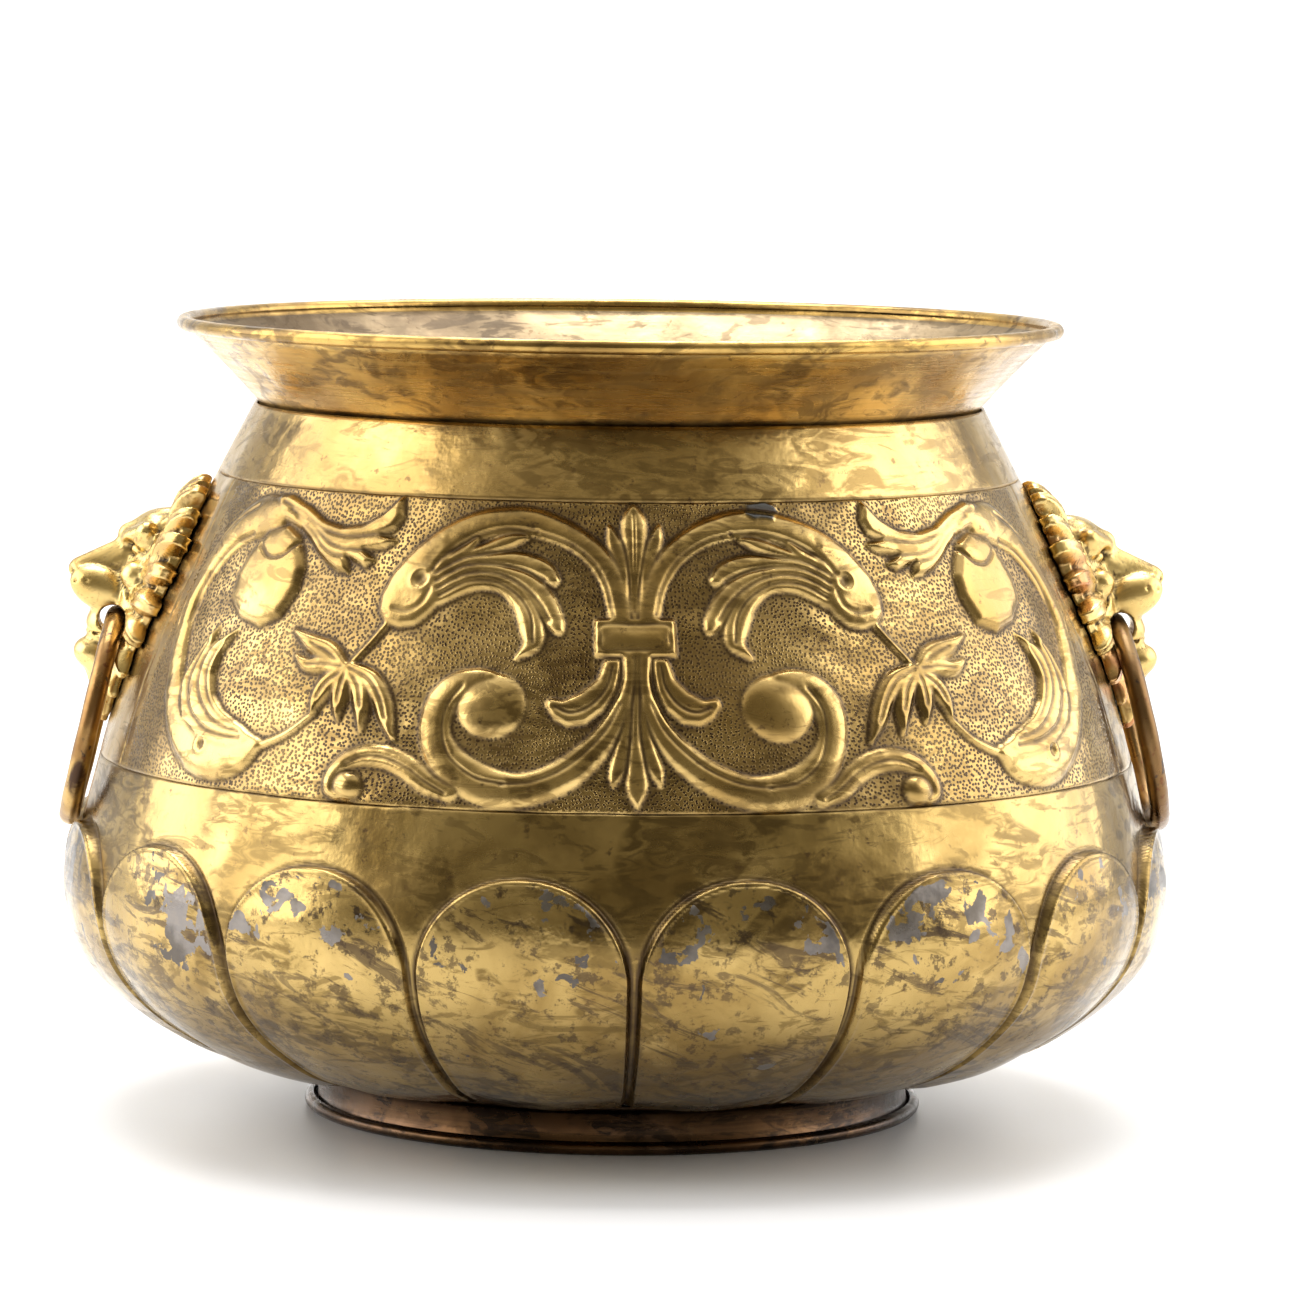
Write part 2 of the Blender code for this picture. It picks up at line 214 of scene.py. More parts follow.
def lumps(x, y, scale, seed):
    """Smooth random unevenness from -1 to 1 made of a few waves about that many units long."""
    dice = np.random.default_rng(seed)
    total = 0
    for _ in range(7):
        turn = dice.uniform(0, math.pi)
        wave = 2 * math.pi / (scale * dice.uniform(0.6, 1.6))
        total = total + np.sin(wave * (x * math.cos(turn) + y * math.sin(turn)) + dice.uniform(0, 6))
    return total / 4


# ---- the embossed band's drawing ----------------------------------------------------------
PITCH = 0.5
PANEL = (286.0, 118.0)
panel_x, panel_t = np.meshgrid(np.arange(0, PANEL[0], PITCH), np.arange(0, PANEL[1], PITCH), indexing="ij")
panel = np.zeros_like(panel_x)


def window(points, margin):
    """The part of the panel's lattice near these points."""
    low = points[:, :2].min(0) - margin
    high = points[:, :2].max(0) + margin
    i = slice(max(0, int(low[0] / PITCH)), max(0, int(high[0] / PITCH) + 2))
    j = slice(max(0, int(low[1] / PITCH)), max(0, int(high[1] / PITCH) + 2))
    return i, j


def share_of_width(line, i, j):
    """How far each lattice point is from a line of (x, t, half width), as a share of the half width."""
    gx = panel_x[i, j]
    gt = panel_t[i, j]
    share = np.full(gx.shape, 9.0)
    for (x0, t0, w0), (x1, t1, w1) in zip(line[:-1], line[1:]):
        dx = x1 - x0
        dt = t1 - t0
        f = np.clip(((gx - x0) * dx + (gt - t0) * dt) / (dx * dx + dt * dt + 1e-9), 0, 1)
        away = np.hypot(gx - x0 - f * dx, gt - t0 - f * dt)
        share = np.minimum(share, away / (w0 + f * (w1 - w0)))
    return share


def rod(points, height, fullness=2.6):
    """Raises a rounded band along a curve of (x, t, half width)."""
    line = curve_through(points)
    line[:, 2] = np.maximum(line[:, 2], 0.4)
    i, j = window(line, line[:, 2].max() + 1)
    share = share_of_width(line, i, j)
    dome = height * np.clip(1 - share**fullness, 0, 1) ** 0.6
    panel[i, j] = np.maximum(panel[i, j], dome)


def groove(points, width=0.9, depth=1.0):
    """Cuts a round groove of that half width along a curve of (x, t), where there is relief."""
    line = curve_through([(x, t, width) for x, t in points])
    i, j = window(line, width + 1)
    share = share_of_width(line, i, j)
    cut = depth * np.clip(1 - share**2, 0, 1)
    panel[i, j] -= cut * np.clip(panel[i, j] / 1.2, 0, 1)


def leaf(outline, height, edge=2.6):
    """Raises the inside of a closed outline of (x, t), rounding over its edge."""
    ring = np.asarray(outline, float)
    i, j = window(ring, 1)
    gx = panel_x[i, j]
    gt = panel_t[i, j]
    away = np.full(gx.shape, 99.0)
    inside = np.zeros(gx.shape, bool)
    for (x0, t0), (x1, t1) in zip(ring, np.roll(ring, -1, axis=0)):
        dx = x1 - x0
        dt = t1 - t0
        f = np.clip(((gx - x0) * dx + (gt - t0) * dt) / (dx * dx + dt * dt + 1e-9), 0, 1)
        away = np.minimum(away, np.hypot(gx - x0 - f * dx, gt - t0 - f * dt))
        crosses = (t0 > gt) != (t1 > gt)
        inside ^= crosses & (gx < x0 + (gt - t0) * dx / (dt if abs(dt) > 1e-9 else 1e-9))
    rise = np.clip(away / edge, 0, 1)
    dome = height * np.sqrt(np.clip(1 - (1 - rise) ** 2, 0, 1)) * inside
    panel[i, j] = np.maximum(panel[i, j], dome)


def ball(x, t, radius, height):
    """Raises a round boss."""
    rod([(x, t, radius), (x + 0.1, t, radius)], height, 2.0)


# The upper scroll, from the clasp on the axis round to the animal-like head that ends it.
rod([
    (4.8, 71, 4.8), (6, 79, 5), (9.6, 88.5, 5), (17, 97.5, 4.9), (27, 103.8, 5.2), (37.5, 107.2, 5.5),
    (48, 108.2, 5.8), (62, 106.2, 5.8), (74, 101, 6.2), (84, 92.6, 7.2), (88.5, 83, 9), (88, 76.5, 9.3),
], 2.6)
for lobe in (
    [(74.0, 92.0, 2.5), (67.0, 96.0, 2.4), (62.6, 100.4, 0.6)],
    [(72.0, 90.0, 3.4), (60.0, 95.5, 3.4), (50.0, 100.0, 2.9), (43.0, 101.8, 0.7)],
    [(73.0, 87.0, 4.0), (58.0, 91.5, 4.2), (45.0, 92.6, 4.0), (35.5, 89.8, 3.9), (31.4, 86.2, 2.6)],
    [
        (74.0, 84.5, 4.6), (59.0, 88.6, 4.6), (46.0, 87.4, 4.4), (35.5, 80.2, 4.4), (29.0, 71.0, 3.6),
        (27.2, 67.2, 2.0),
    ],
    [
        (76.0, 79.5, 5.0), (63.0, 85.2, 4.6), (51.0, 84.6, 4.2), (42.4, 77.6, 4.0), (37.4, 69.0, 4.8),
        (36.4, 62.0, 3.6), (41.6, 56.2, 0.7),
    ],
):
    rod(lobe, 2.5)
leaf([
    (74.7, 106.8), (83.2, 101.9), (91, 94.6), (96.7, 87.1), (99.1, 78.6), (98.4, 71.9), (94.9, 67.7),
    (88.4, 66), (82.4, 67.2), (78.7, 70.4), (74.4, 75.4), (68, 79.6), (66, 86), (72, 92.5), (71, 97.5),
], 3.0, 6.0)
groove([(78, 87), (70, 91.8), (60, 94.6), (47.5, 97)])
groove([(77, 84), (68, 89.5), (56, 91), (44, 89.4), (34.8, 85.8)])
groove([(76, 81), (66, 86.8), (54, 87.6), (43, 83.8), (35, 77), (30.6, 70.6)])
groove([(75, 78.5), (65, 83.8), (54, 84.4), (44, 79.8), (37.8, 72), (36, 62)])
groove([(8, 73), (10.2, 82.5), (14.6, 91), (21, 97), (29, 101.2), (39, 104)], 0.8, 0.9)
groove([(39, 104), (50, 104.6), (60, 102.6), (69, 98.6), (76.5, 92.8), (80.5, 86.5)], 0.8, 0.9)
groove([(79, 81), (81, 75.5), (86, 72.4), (92, 73)], 0.7, 0.8)

# The lower scroll, from the clasp round its ball, with the hooked leaf beside the clasp.
rod([
    (2.8, 58, 2.7), (2.8, 48, 2.5), (5.4, 37.5, 3.2), (10.4, 27.5, 4.3), (17, 19.2, 5.3),
    (25.5, 12.3, 5.9), (35, 8.2, 6.2), (43.5, 7.4, 6.8), (52, 9, 7.4), (60.5, 14, 7), (66.5, 22, 5.8),
    (68.6, 31, 5.3), (66.8, 39.6, 5.8), (61.8, 45.2, 5.8), (55.6, 48, 4.4), (50.6, 49.2, 2.2),
], 2.5)
ball(49.4, 38.2, 12.6, 3.6)
groove([(60.5, 45), (64.6, 38), (65.6, 29), (62.4, 18.5), (54, 11.4), (44, 9.4)], 0.8, 1.0)
groove([(44, 9.4), (34, 10.8), (24.5, 15.2), (16.6, 22), (9.8, 30.5), (5.4, 40)], 0.8, 0.9)
leaf([
    (5.6, 57), (6, 51.2), (7.2, 44.7), (10.8, 37.6), (16.6, 32.2), (22.7, 31.2), (27.4, 34.2),
    (30.2, 39), (29.2, 41.8), (24.6, 41), (18.9, 44.2), (13.9, 49.2), (11.2, 57),
], 2.3)
groove([(8.6, 54), (10.4, 46), (15.4, 39.2), (21.5, 36.4), (27, 38.4)])

# The clasp, the palmettes above and below it, and the thin stems.
leaf([(-22, 57.4), (14.6, 57.4), (14.6, 71.6), (-22, 71.6)], 2.6, 1.4)
leaf([(-20, 60.2), (11.6, 60.2), (11.6, 68.8), (-20, 68.8)], 2.9, 3.4)
groove([(0, 59.6), (6, 59.6), (12, 59.8), (12.4, 64.5), (12, 69.2), (0, 69.4)], 0.7, 0.9)
rod([(0, 116, 0.5), (0, 108, 5.4), (0, 98, 4.6), (0, 86, 1.8), (0, 70, 1.3)], 2.2)
rod([(10, 107.6, 0.6), (8.6, 102, 3), (6, 95, 3.2), (3.6, 86, 1.5), (1.8, 72, 1)], 1.9)
groove([(0, 112), (0, 100), (0, 74)], 0.7, 0.9)
rod([(0, 2, 0.6), (0, 9, 3.6), (0, 18, 3), (0, 32, 1.5), (0, 58, 1.2)], 2.1)
rod([(7.8, 9.8, 0.6), (6.6, 15, 2.6), (4.6, 23, 2.5), (2.6, 35, 1.3), (1.6, 58, 1)], 1.8)
rod([(106, 50, 1.6), (99.8, 58.6, 1.3), (93.5, 68, 1.4)], 1.4)
rod([(116.5, 31.5, 1), (126.6, 22.4, 1.3), (139, 16, 1.8)], 1.4)

# The bell flower between the scrolls.
for petal in (
    [(107.5, 49.5, 2.6), (115.5, 54.5, 4.6), (124, 57.4, 3.6), (134.6, 61.8, 0.5)],
    [(107.5, 49.5, 2.6), (116, 50, 3.4), (124, 49.2, 2.8), (130.8, 52.6, 0.5)],
    [(106.5, 48.5, 2.6), (112.8, 43, 4.3), (116.2, 36.5, 3), (117.2, 30, 0.5)],
    [(106, 48.5, 2.6), (106.8, 41.5, 4), (106.8, 35.5, 2.9), (106, 29.6, 0.5)],
    [(105, 48.5, 2.6), (99.4, 42.5, 4.2), (96.6, 34.5, 3.2), (95.6, 26, 0.5)],
    [(105, 49.5, 2.6), (95.6, 45.6, 4), (89.4, 38.5, 3.7), (86, 31, 2.8), (82.6, 24, 0.5)],
):
    rod(petal, 2.5)
    groove([(x, t) for x, t, _ in petal[:-1]], 0.7, 1.0)

# The outer scroll: the bulb and its feathers at the bottom, the band, the knob and the top plume.
rod([
    (139, 17, 3.5), (147, 13.6, 8), (157, 11.8, 9), (168, 12.8, 8.6), (179, 17.6, 7.6), (190, 29, 6.4),
    (199, 44, 6), (205.4, 60, 6), (205.6, 73, 6.3), (200.6, 86, 7.2), (192, 97, 8.4), (181, 103, 9),
    (168, 104.6, 7.6),
], 2.5)
leaf([
    (164.8, 61), (167.6, 55), (169.8, 50), (169.6, 42), (165.4, 34), (158.1, 28.1), (146.7, 24),
    (138, 19.5), (150, 14), (168.7, 16.4), (180.7, 22.3), (185.4, 29.1), (187.8, 37.1), (186.9, 42.2),
    (184.2, 50), (178.6, 61.5), (176.8, 53),
], 2.6)
groove([(146, 19), (160, 19.6), (173, 24.4), (181.6, 34), (182.4, 44), (179.6, 54)])
groove([(147, 21.2), (160, 23.6), (170.4, 29.6), (177, 38), (178, 47), (176.4, 54)])
groove([(152, 24), (162, 28), (170, 35.4), (173.8, 44), (170.6, 54)])
leaf([
    (172, 112.6), (163.5, 113.2), (149.8, 109.6), (138.1, 104.6), (126.7, 102.8), (116.3, 104.4),
    (108.4, 108.9), (101.2, 116.6), (98.8, 108.5), (101, 103.6), (105.4, 101), (98.8, 99.4),
    (103, 96.2), (111.4, 94.4), (106.2, 91.2), (110, 88.4), (119.4, 91.4), (117, 85.4), (123, 85.8),
    (130, 88.7), (137, 92.8), (142.5, 96.9), (150, 101), (165.5, 104),
], 2.5)
groove([(166, 110.4), (150, 106.6), (136, 101), (122, 99.2), (105.6, 101.2)])
groove([(160, 107.6), (146, 103.6), (132, 96.4), (121, 94), (111.6, 94.6)])
groove([(154, 104.6), (143, 100.2), (131, 93), (119.6, 91.2)])
leaf([
    (143.4, 91), (149, 98), (157.5, 101.8), (168, 99), (175, 91), (179, 81), (176.4, 71), (167.2, 64.6),
    (154.6, 61.6), (144.6, 65.8), (139.8, 76.7), (140.2, 85.6),
], 3.4, 7.0)
groove([(147, 95.6), (152, 89.6), (160, 88.4), (167.6, 92.4)], 0.8, 1.3)
groove([(200.6, 60), (201, 72), (196.8, 83), (188.6, 92), (178.5, 96.6)], 0.8, 1.0)
groove([(174, 6.6), (184, 13.6), (193.4, 25.6), (201, 40), (207.4, 58)], 0.8, 0.8)
groove([(207.4, 58), (208.2, 73), (203.8, 88), (194.4, 100.4), (182, 107.2)], 0.8, 0.8)
rod([
    (62, 5, 3.2), (69, 8, 4), (75.5, 13.2, 4.3), (83, 16.9, 4.5), (91, 17.4, 4.2), (98.5, 15.2, 3.6),
    (103.6, 10.4, 3), (104.6, 4.8, 2.4), (101, 1.6, 1.2),
], 2.2)
ball(97.6, 5.8, 5.4, 3.4)
groove([(63, 4.6), (70, 9), (76, 13.6), (84, 16.8), (92, 16.8), (99, 13.4)], 0.8, 0.9)

# The head's eye: a raised ring round a pit. The bulb at the far side has a small one.
for (eye_x, eye_t, eye_size) in (
    (83.4, 84.6, 3.4), (165, 15, 2.4),
):
    away = np.hypot(panel_x - eye_x, panel_t - eye_t) / eye_size
    panel += 0.6 * np.exp(-(((away - 1.1) / 0.28) ** 2)) - 1.3 * np.exp(-((away / 0.7) ** 2))

panel = blurred(panel, 2)
shaded = blurred(panel, 26)
outlined = blurred(panel, 5)
# The hollows of the relief, darkened later with grime and painted shade.
panel_cavity = np.clip(np.maximum((outlined - panel) / 0.16, (shaded - panel) / 0.8), 0, 1)
panel_ground = np.clip(1 - panel / 0.5, 0, 1)


# ---- materials ----------------------------------------------------------------------------
class Paint:
    """One node material with a Principled shader, put together by short calls."""

    def __init__(self, name, metallic=1.0):
        self.material = bpy.data.materials.new(name)
        self.material.use_nodes = True
        self.tree = self.material.node_tree
        self.shader = self.tree.nodes["Principled BSDF"]
        self.shader.inputs["Metallic"].default_value = metallic
        self.shader.inputs["Coat Weight"].default_value = 0.2 * metallic
        self.shader.inputs["Coat Roughness"].default_value = 0.28
        self.place = self.tree.nodes.new("ShaderNodeTexCoord").outputs["Object"]

    def link(self, source, target):
        self.tree.links.new(source, target)

    def stretched(self, scale, tilt):
        """The place, turned by the tilt and then squeezed: noise runs long where the scale is small."""
        node = self.tree.nodes.new("ShaderNodeMapping")
        node.vector_type = "TEXTURE"
        node.inputs["Rotation"].default_value = (0.0, tilt, 0.0)
        node.inputs["Scale"].default_value = [1 / part for part in scale]
        self.link(self.place, node.inputs["Vector"])
        return node.outputs["Vector"]

    def noise(self, scale, detail=3.0, stretch=None, roughness=0.55, distortion=0.0, tilt=0.0):
        node = self.tree.nodes.new("ShaderNodeTexNoise")
        node.inputs["Scale"].default_value = scale
        node.inputs["Detail"].default_value = detail
        node.inputs["Roughness"].default_value = roughness
        node.inputs["Distortion"].default_value = distortion
        self.link(self.stretched(stretch, tilt) if stretch else self.place, node.inputs["Vector"])
        return node.outputs["Fac"]

    def dots(self, scale, uneven):
        """Distance from the nearest of the dots strewn over the sheet, in cells."""
        spread = self.tree.nodes.new("ShaderNodeAttribute")
        spread.attribute_name = "sheet_place"
        node = self.tree.nodes.new("ShaderNodeTexVoronoi")
        node.voronoi_dimensions = "2D"
        node.inputs["Scale"].default_value = scale
        node.inputs["Randomness"].default_value = uneven
        self.link(spread.outputs["Vector"], node.inputs["Vector"])
        return node.outputs["Distance"]

    def value(self, name):
        node = self.tree.nodes.new("ShaderNodeAttribute")
        node.attribute_name = name
        return node.outputs["Fac"]

    def span(self, source, low, high, to_low=0.0, to_high=1.0):
        node = self.tree.nodes.new("ShaderNodeMapRange")
        node.interpolation_type = "SMOOTHSTEP"
        for key, number in (("From Min", low), ("From Max", high), ("To Min", to_low), ("To Max", to_high)):
            node.inputs[key].default_value = number
        self.link(source, node.inputs["Value"])
        return node.outputs["Result"]

    def sum(self, kind, a, b):
        node = self.tree.nodes.new("ShaderNodeMath")
        node.operation = kind
        node.use_clamp = kind != "SUBTRACT"
        for socket, given in zip(node.inputs, (a, b)):
            if isinstance(given, (int, float)):
                socket.default_value = given
            else:
                self.link(given, socket)
        return node.outputs[0]

    def mix(self, amount, first, second):
        node = self.tree.nodes.new("ShaderNodeMix")
        node.data_type = "RGBA"
        for key, given in (("Factor", amount), ("A", first), ("B", second)):
            kind = "VALUE" if key == "Factor" else "RGBA"
            socket = [s for s in node.inputs if s.name == key and s.type == kind][0]
            if isinstance(given, tuple):
                socket.default_value = (*given, 1.0)
            elif isinstance(given, (int, float)):
                socket.default_value = given
            else:
                self.link(given, socket)
        return [s for s in node.outputs if s.type == "RGBA"][0]

    def bump(self, heights):
        """Bumps from (height socket, metres of depth) pairs, one on another."""
        below = None
        for source, depth in heights:
            node = self.tree.nodes.new("ShaderNodeBump")
            node.inputs["Strength"].default_value = 1.0
            node.inputs["Distance"].default_value = depth
            self.link(source, node.inputs["Height"])
            if below:
                self.link(below, node.inputs["Normal"])
            below = node.outputs["Normal"]
        self.link(below, self.shader.inputs["Normal"])

    def finish(self, colour, roughness):
        self.link(colour, self.shader.inputs["Base Color"])
        self.link(roughness, self.shader.inputs["Roughness"])
        return self.material


BRASS = (0.56, 0.385, 0.138)
BRASS_DEEP = (0.35, 0.222, 0.066)
COPPERY = (0.42, 0.19, 0.075)
GRIME_AND_SHADE = (0.050, 0.028, 0.013)
BROWN_SPECK = (0.11, 0.062, 0.024)
BROWN_SCRATCH = (0.20, 0.115, 0.040)
WIPED_BROWN = (0.070, 0.045, 0.025)
PATINA_DARK = (0.080, 0.070, 0.063)
PATINA_GREY = (0.20, 0.18, 0.165)
SOLDER_GREY = (0.10, 0.10, 0.095)
NIGHT = (0.020, 0.020, 0.026)


def body_brass(name, punched=0.0, patina=0.0, brushed=0.0, warm=BRASS, deep=BRASS_DEEP, gloss=0.13):
    """Aged sheet brass: cloudy colour, grime and painted shade in its hollows, patina, and fine marks of
    wiping.
    """
    p = Paint(name)
    stained = tuple(0.64 * part for part in deep)
    cloud = p.span(p.noise(15.0, 6.0, distortion=0.8), 0.36, 0.62)
    colour = p.mix(cloud, warm, deep)
    pale = p.span(p.noise(31.0, 4.0), 0.54, 0.72, 0.0, 0.65)
    colour = p.mix(pale, colour, tuple(1.3 * part + 0.02 for part in warm))
    arcs = p.span(p.noise(5.0, 2.0, stretch=(1.0, 1.0, 1.5), distortion=4.0), 0.50, 0.545)
    streaks = p.noise(70.0, 4.0, stretch=(1.0, 1.0, 2.6), distortion=1.4)
    streaks = p.span(streaks, 0.42, 0.60, 0.15, 0.95)
    colour = p.mix(p.sum("MULTIPLY", arcs, streaks), colour, stained)
    smears = p.noise(38.0, 5.0, stretch=(0.8, 0.8, 2.8), roughness=0.62, distortion=1.8)
    smears = p.span(smears, 0.53, 0.62, 0.0, 0.7)
    colour = p.mix(smears, colour, stained)
    freckle = p.span(p.noise(170.0, 5.0, roughness=0.7), 0.60, 0.70, 0.0, 0.75)
    colour = p.mix(freckle, colour, BROWN_SPECK)
    rough = p.span(p.noise(24.0, 5.0), 0.3, 0.7, gloss, gloss + 0.17)
    rough = p.sum("ADD", rough, p.sum("MULTIPLY", smears, 0.10))
    marks = [(p.noise(30.0, 2.5), 0.0013), (p.noise(90.0, 3.0), 0.00035)]
    marks.append((p.noise(600.0, 3.0, stretch=(1.0, 1.0, 0.35)), 0.00003))
    if brushed:
        lines = p.noise(900.0, 4.0, stretch=(0.02, 0.02, 1.0))
        marks.append((lines, 0.00008 * brushed))
        colour = p.mix(p.span(lines, 0.45, 0.75, 0.0, 0.35 * brushed), colour, BROWN_SCRATCH)
        rough = p.sum("ADD", rough, p.span(lines, 0.35, 0.7, 0.0, 0.14 * brushed))
    if patina:
        flake = p.sum("MULTIPLY", p.noise(72.0, 7.0, roughness=0.54, distortion=0.3), p.value("patina"))
        flake = p.sum("MULTIPLY", flake, p.span(p.noise(16.0, 3.0), 0.44, 0.56, 0.86, 1.0))
        spot = p.sum("MULTIPLY", p.span(flake, 0.474, 0.484), patina)
        metal = p.mix(p.span(p.noise(30.0, 5.0), 0.42, 0.58), PATINA_DARK, PATINA_GREY)
        scrape = p.noise(52.0, 7.0, stretch=(0.45, 0.45, 2.0), roughness=0.72, distortion=0.9, tilt=0.4)
        scrape = p.span(scrape, 0.53, 0.60, 0.0, 0.9)
        colour = p.mix(p.sum("MULTIPLY", scrape, p.value("patina")), colour, WIPED_BROWN)
        speck = p.span(p.noise(130.0, 7.0, roughness=0.72), 0.545, 0.60, 0.0, 0.85)
        colour = p.mix(p.sum("MULTIPLY", speck, p.value("patina")), colour, (0.060, 0.038, 0.022))
        colour = p.mix(spot, colour, metal)
        rough = p.sum("ADD", rough, p.sum("MULTIPLY", spot, 0.12))
    if punched:
        dot = p.span(p.dots(0.66, 0.85), 0.20, 0.38, 1.0, 0.0)
        dot = p.sum("MULTIPLY", dot, p.value("ground"))
        stain = p.sum("MULTIPLY", p.value("ground"), p.span(p.noise(48.0, 6.0), 0.35, 0.65, 0.0, 0.60))
        colour = p.mix(stain, colour, (0.20, 0.125, 0.042))
        # The punched dots go near black: grime and painted shade in the pits.
        depth = p.span(p.noise(26.0, 4.0), 0.3, 0.62, 0.55 * punched, 0.97 * punched)
        colour = p.mix(p.sum("MULTIPLY", dot, depth), colour, GRIME_AND_SHADE)
        marks.append((p.sum("SUBTRACT", 1.0, dot), 0.0005))
        colour = p.mix(p.value("solder"), colour, SOLDER_GREY)
    # Grime and painted shade: the value made from the hollows of the shape darkens the colour near black
    # there.
    dirt_and_shade = p.sum("MULTIPLY", p.value("grime_and_shade"), p.span(p.noise(75.0, 4.0), 0.25, 0.6, 0.55, 1.0))
    colour = p.mix(dirt_and_shade, colour, GRIME_AND_SHADE)
    rough = p.sum("ADD", rough, p.sum("MULTIPLY", p.value("grime_and_shade"), 0.25))
    p.bump(marks)
    return p.finish(colour, rough)


paint_plain = body_brass("aged_brass_plain", brushed=0.25)
paint_band = body_brass("aged_brass_embossed", punched=1.0)
paint_lobes = body_brass(
    "aged_brass_lobes", patina=0.95, warm=(0.46, 0.318, 0.108), deep=(0.26, 0.165, 0.047)
)
paint_collar = body_brass(
    "brushed_brass_collar", brushed=1.0, warm=(0.54, 0.345, 0.092), deep=(0.28, 0.165, 0.043)
)
paint_collar_inside = body_brass(
    "tarnished_collar_inside", brushed=0.4, warm=(0.31, 0.228, 0.125), deep=(0.16, 0.112, 0.056), gloss=0.22
)
# The foot is a redder brass with the shade under the belly painted into its colours, far darker than brass.
paint_foot_shaded = body_brass(
    "redder_brass_foot_painted_shade", brushed=0.6, warm=(0.095, 0.046, 0.017), deep=(0.022, 0.011, 0.006)
)


def ring_paint():
    """Brown rubbed rod with dark and red spots."""
    p = Paint("brown_rubbed_brass")
    colour = p.mix(p.span(p.noise(42.0, 5.0), 0.38, 0.62), (0.50, 0.325, 0.11), (0.24, 0.125, 0.04))
    colour = p.mix(p.value("dull"), colour, (0.15, 0.082, 0.03))
    colour = p.mix(p.span(p.noise(240.0, 4.0), 0.58, 0.70, 0.0, 0.7), colour, (0.11, 0.030, 0.014))
    dark_spots = p.noise(190.0, 5.0, stretch=(1.0, 1.3, 0.8))
    colour = p.mix(p.span(dark_spots, 0.60, 0.70, 0.0, 0.85), colour, NIGHT)
    scab = p.sum("MULTIPLY", p.value("scab"), p.span(p.noise(150.0, 4.0), 0.3, 0.5, 0.5, 1.0))
    colour = p.mix(scab, colour, (0.055, 0.028, 0.014))
    p.bump([(p.noise(120.0, 4.0), 0.0004), (p.noise(900.0, 3.0), 0.00005)])
    return p.finish(colour, p.span(p.noise(45.0, 4.0), 0.3, 0.7, 0.24, 0.46))


def mask_paint():
    """Polished casting: bright on its crests, coppery to the sides, grime and painted shade near black in its
    hollows.
    """
    p = Paint("polished_cast_brass")
    colour = p.mix(p.span(p.noise(40.0, 4.0), 0.35, 0.65), (0.78, 0.58, 0.225), (0.56, 0.385, 0.13))
    blush = p.sum("MULTIPLY", p.value("copper"), p.span(p.noise(38.0, 4.0), 0.40, 0.60))
    colour = p.mix(blush, colour, COPPERY)
    colour = p.mix(p.span(p.noise(260.0, 5.0), 0.60, 0.72, 0.0, 0.6), colour, (0.20, 0.09, 0.035))
    # Grime and painted shade: the crowded hollows of the casting go near black.
    dirt_and_shade = p.sum("MULTIPLY", p.value("grime_and_shade"), p.span(p.noise(140.0, 4.0), 0.2, 0.6, 0.7, 1.0))
    colour = p.mix(dirt_and_shade, colour, (0.030, 0.018, 0.014))
    # Painted shade: near black where the mask meets the wall.
    colour = p.mix(p.value("edge"), colour, NIGHT)
    rough = p.span(p.noise(70.0, 4.0), 0.3, 0.7, 0.22, 0.38)
    rough = p.sum("ADD", rough, p.sum("MULTIPLY", p.value("grime_and_shade"), 0.35))
    p.bump([(p.noise(210.0, 4.0), 0.00022), (p.noise(1100.0, 3.0), 0.00004)])
    return p.finish(colour, rough)


def dull_metal(name, light, dark, rough_low, rough_high):
    """Small unpolished metal: mottled and slightly rough."""
    p = Paint(name)
    colour = p.mix(p.span(p.noise(150.0, 5.0), 0.35, 0.65), light, dark)
    p.bump([(p.noise(500.0, 4.0), 0.00012)])
    return p.finish(colour, p.span(p.noise(90.0, 4.0), 0.3, 0.7, rough_low, rough_high))


def inside_paint():
    """The unpolished inside: matt brown-grey, stained."""
    p = Paint("tarnished_inside")
    colour = p.mix(p.span(p.noise(17.0, 6.0), 0.36, 0.64), (0.185, 0.135, 0.082), (0.095, 0.075, 0.055))
    colour = p.mix(p.span(p.noise(60.0, 5.0), 0.55, 0.70, 0.0, 0.6), colour, (0.30, 0.22, 0.12))
    p.bump([(p.noise(45.0, 4.0), 0.0006), (p.noise(700.0, 3.0), 0.00008)])
    return p.finish(colour, p.span(p.noise(30.0, 4.0), 0.3, 0.7, 0.48, 0.66))


paint_ring = ring_paint()
paint_mask = mask_paint()
paint_inside = inside_paint()
paint_wire = dull_metal("dull_iron_wire", (0.16, 0.13, 0.11), (0.09, 0.05, 0.035), 0.5, 0.7)
paint_fastener = dull_metal("dull_fastener_brass", (0.42, 0.29, 0.12), (0.20, 0.13, 0.06), 0.35, 0.55)


# ---- the bowl -----------------------------------------------------------------------------
INNER_SPACING = 0.008  # the plain inner skin needs few rows
SEAM_CALM = 0.1  # radians beside the masks where random unevenness fades, so the halves meet


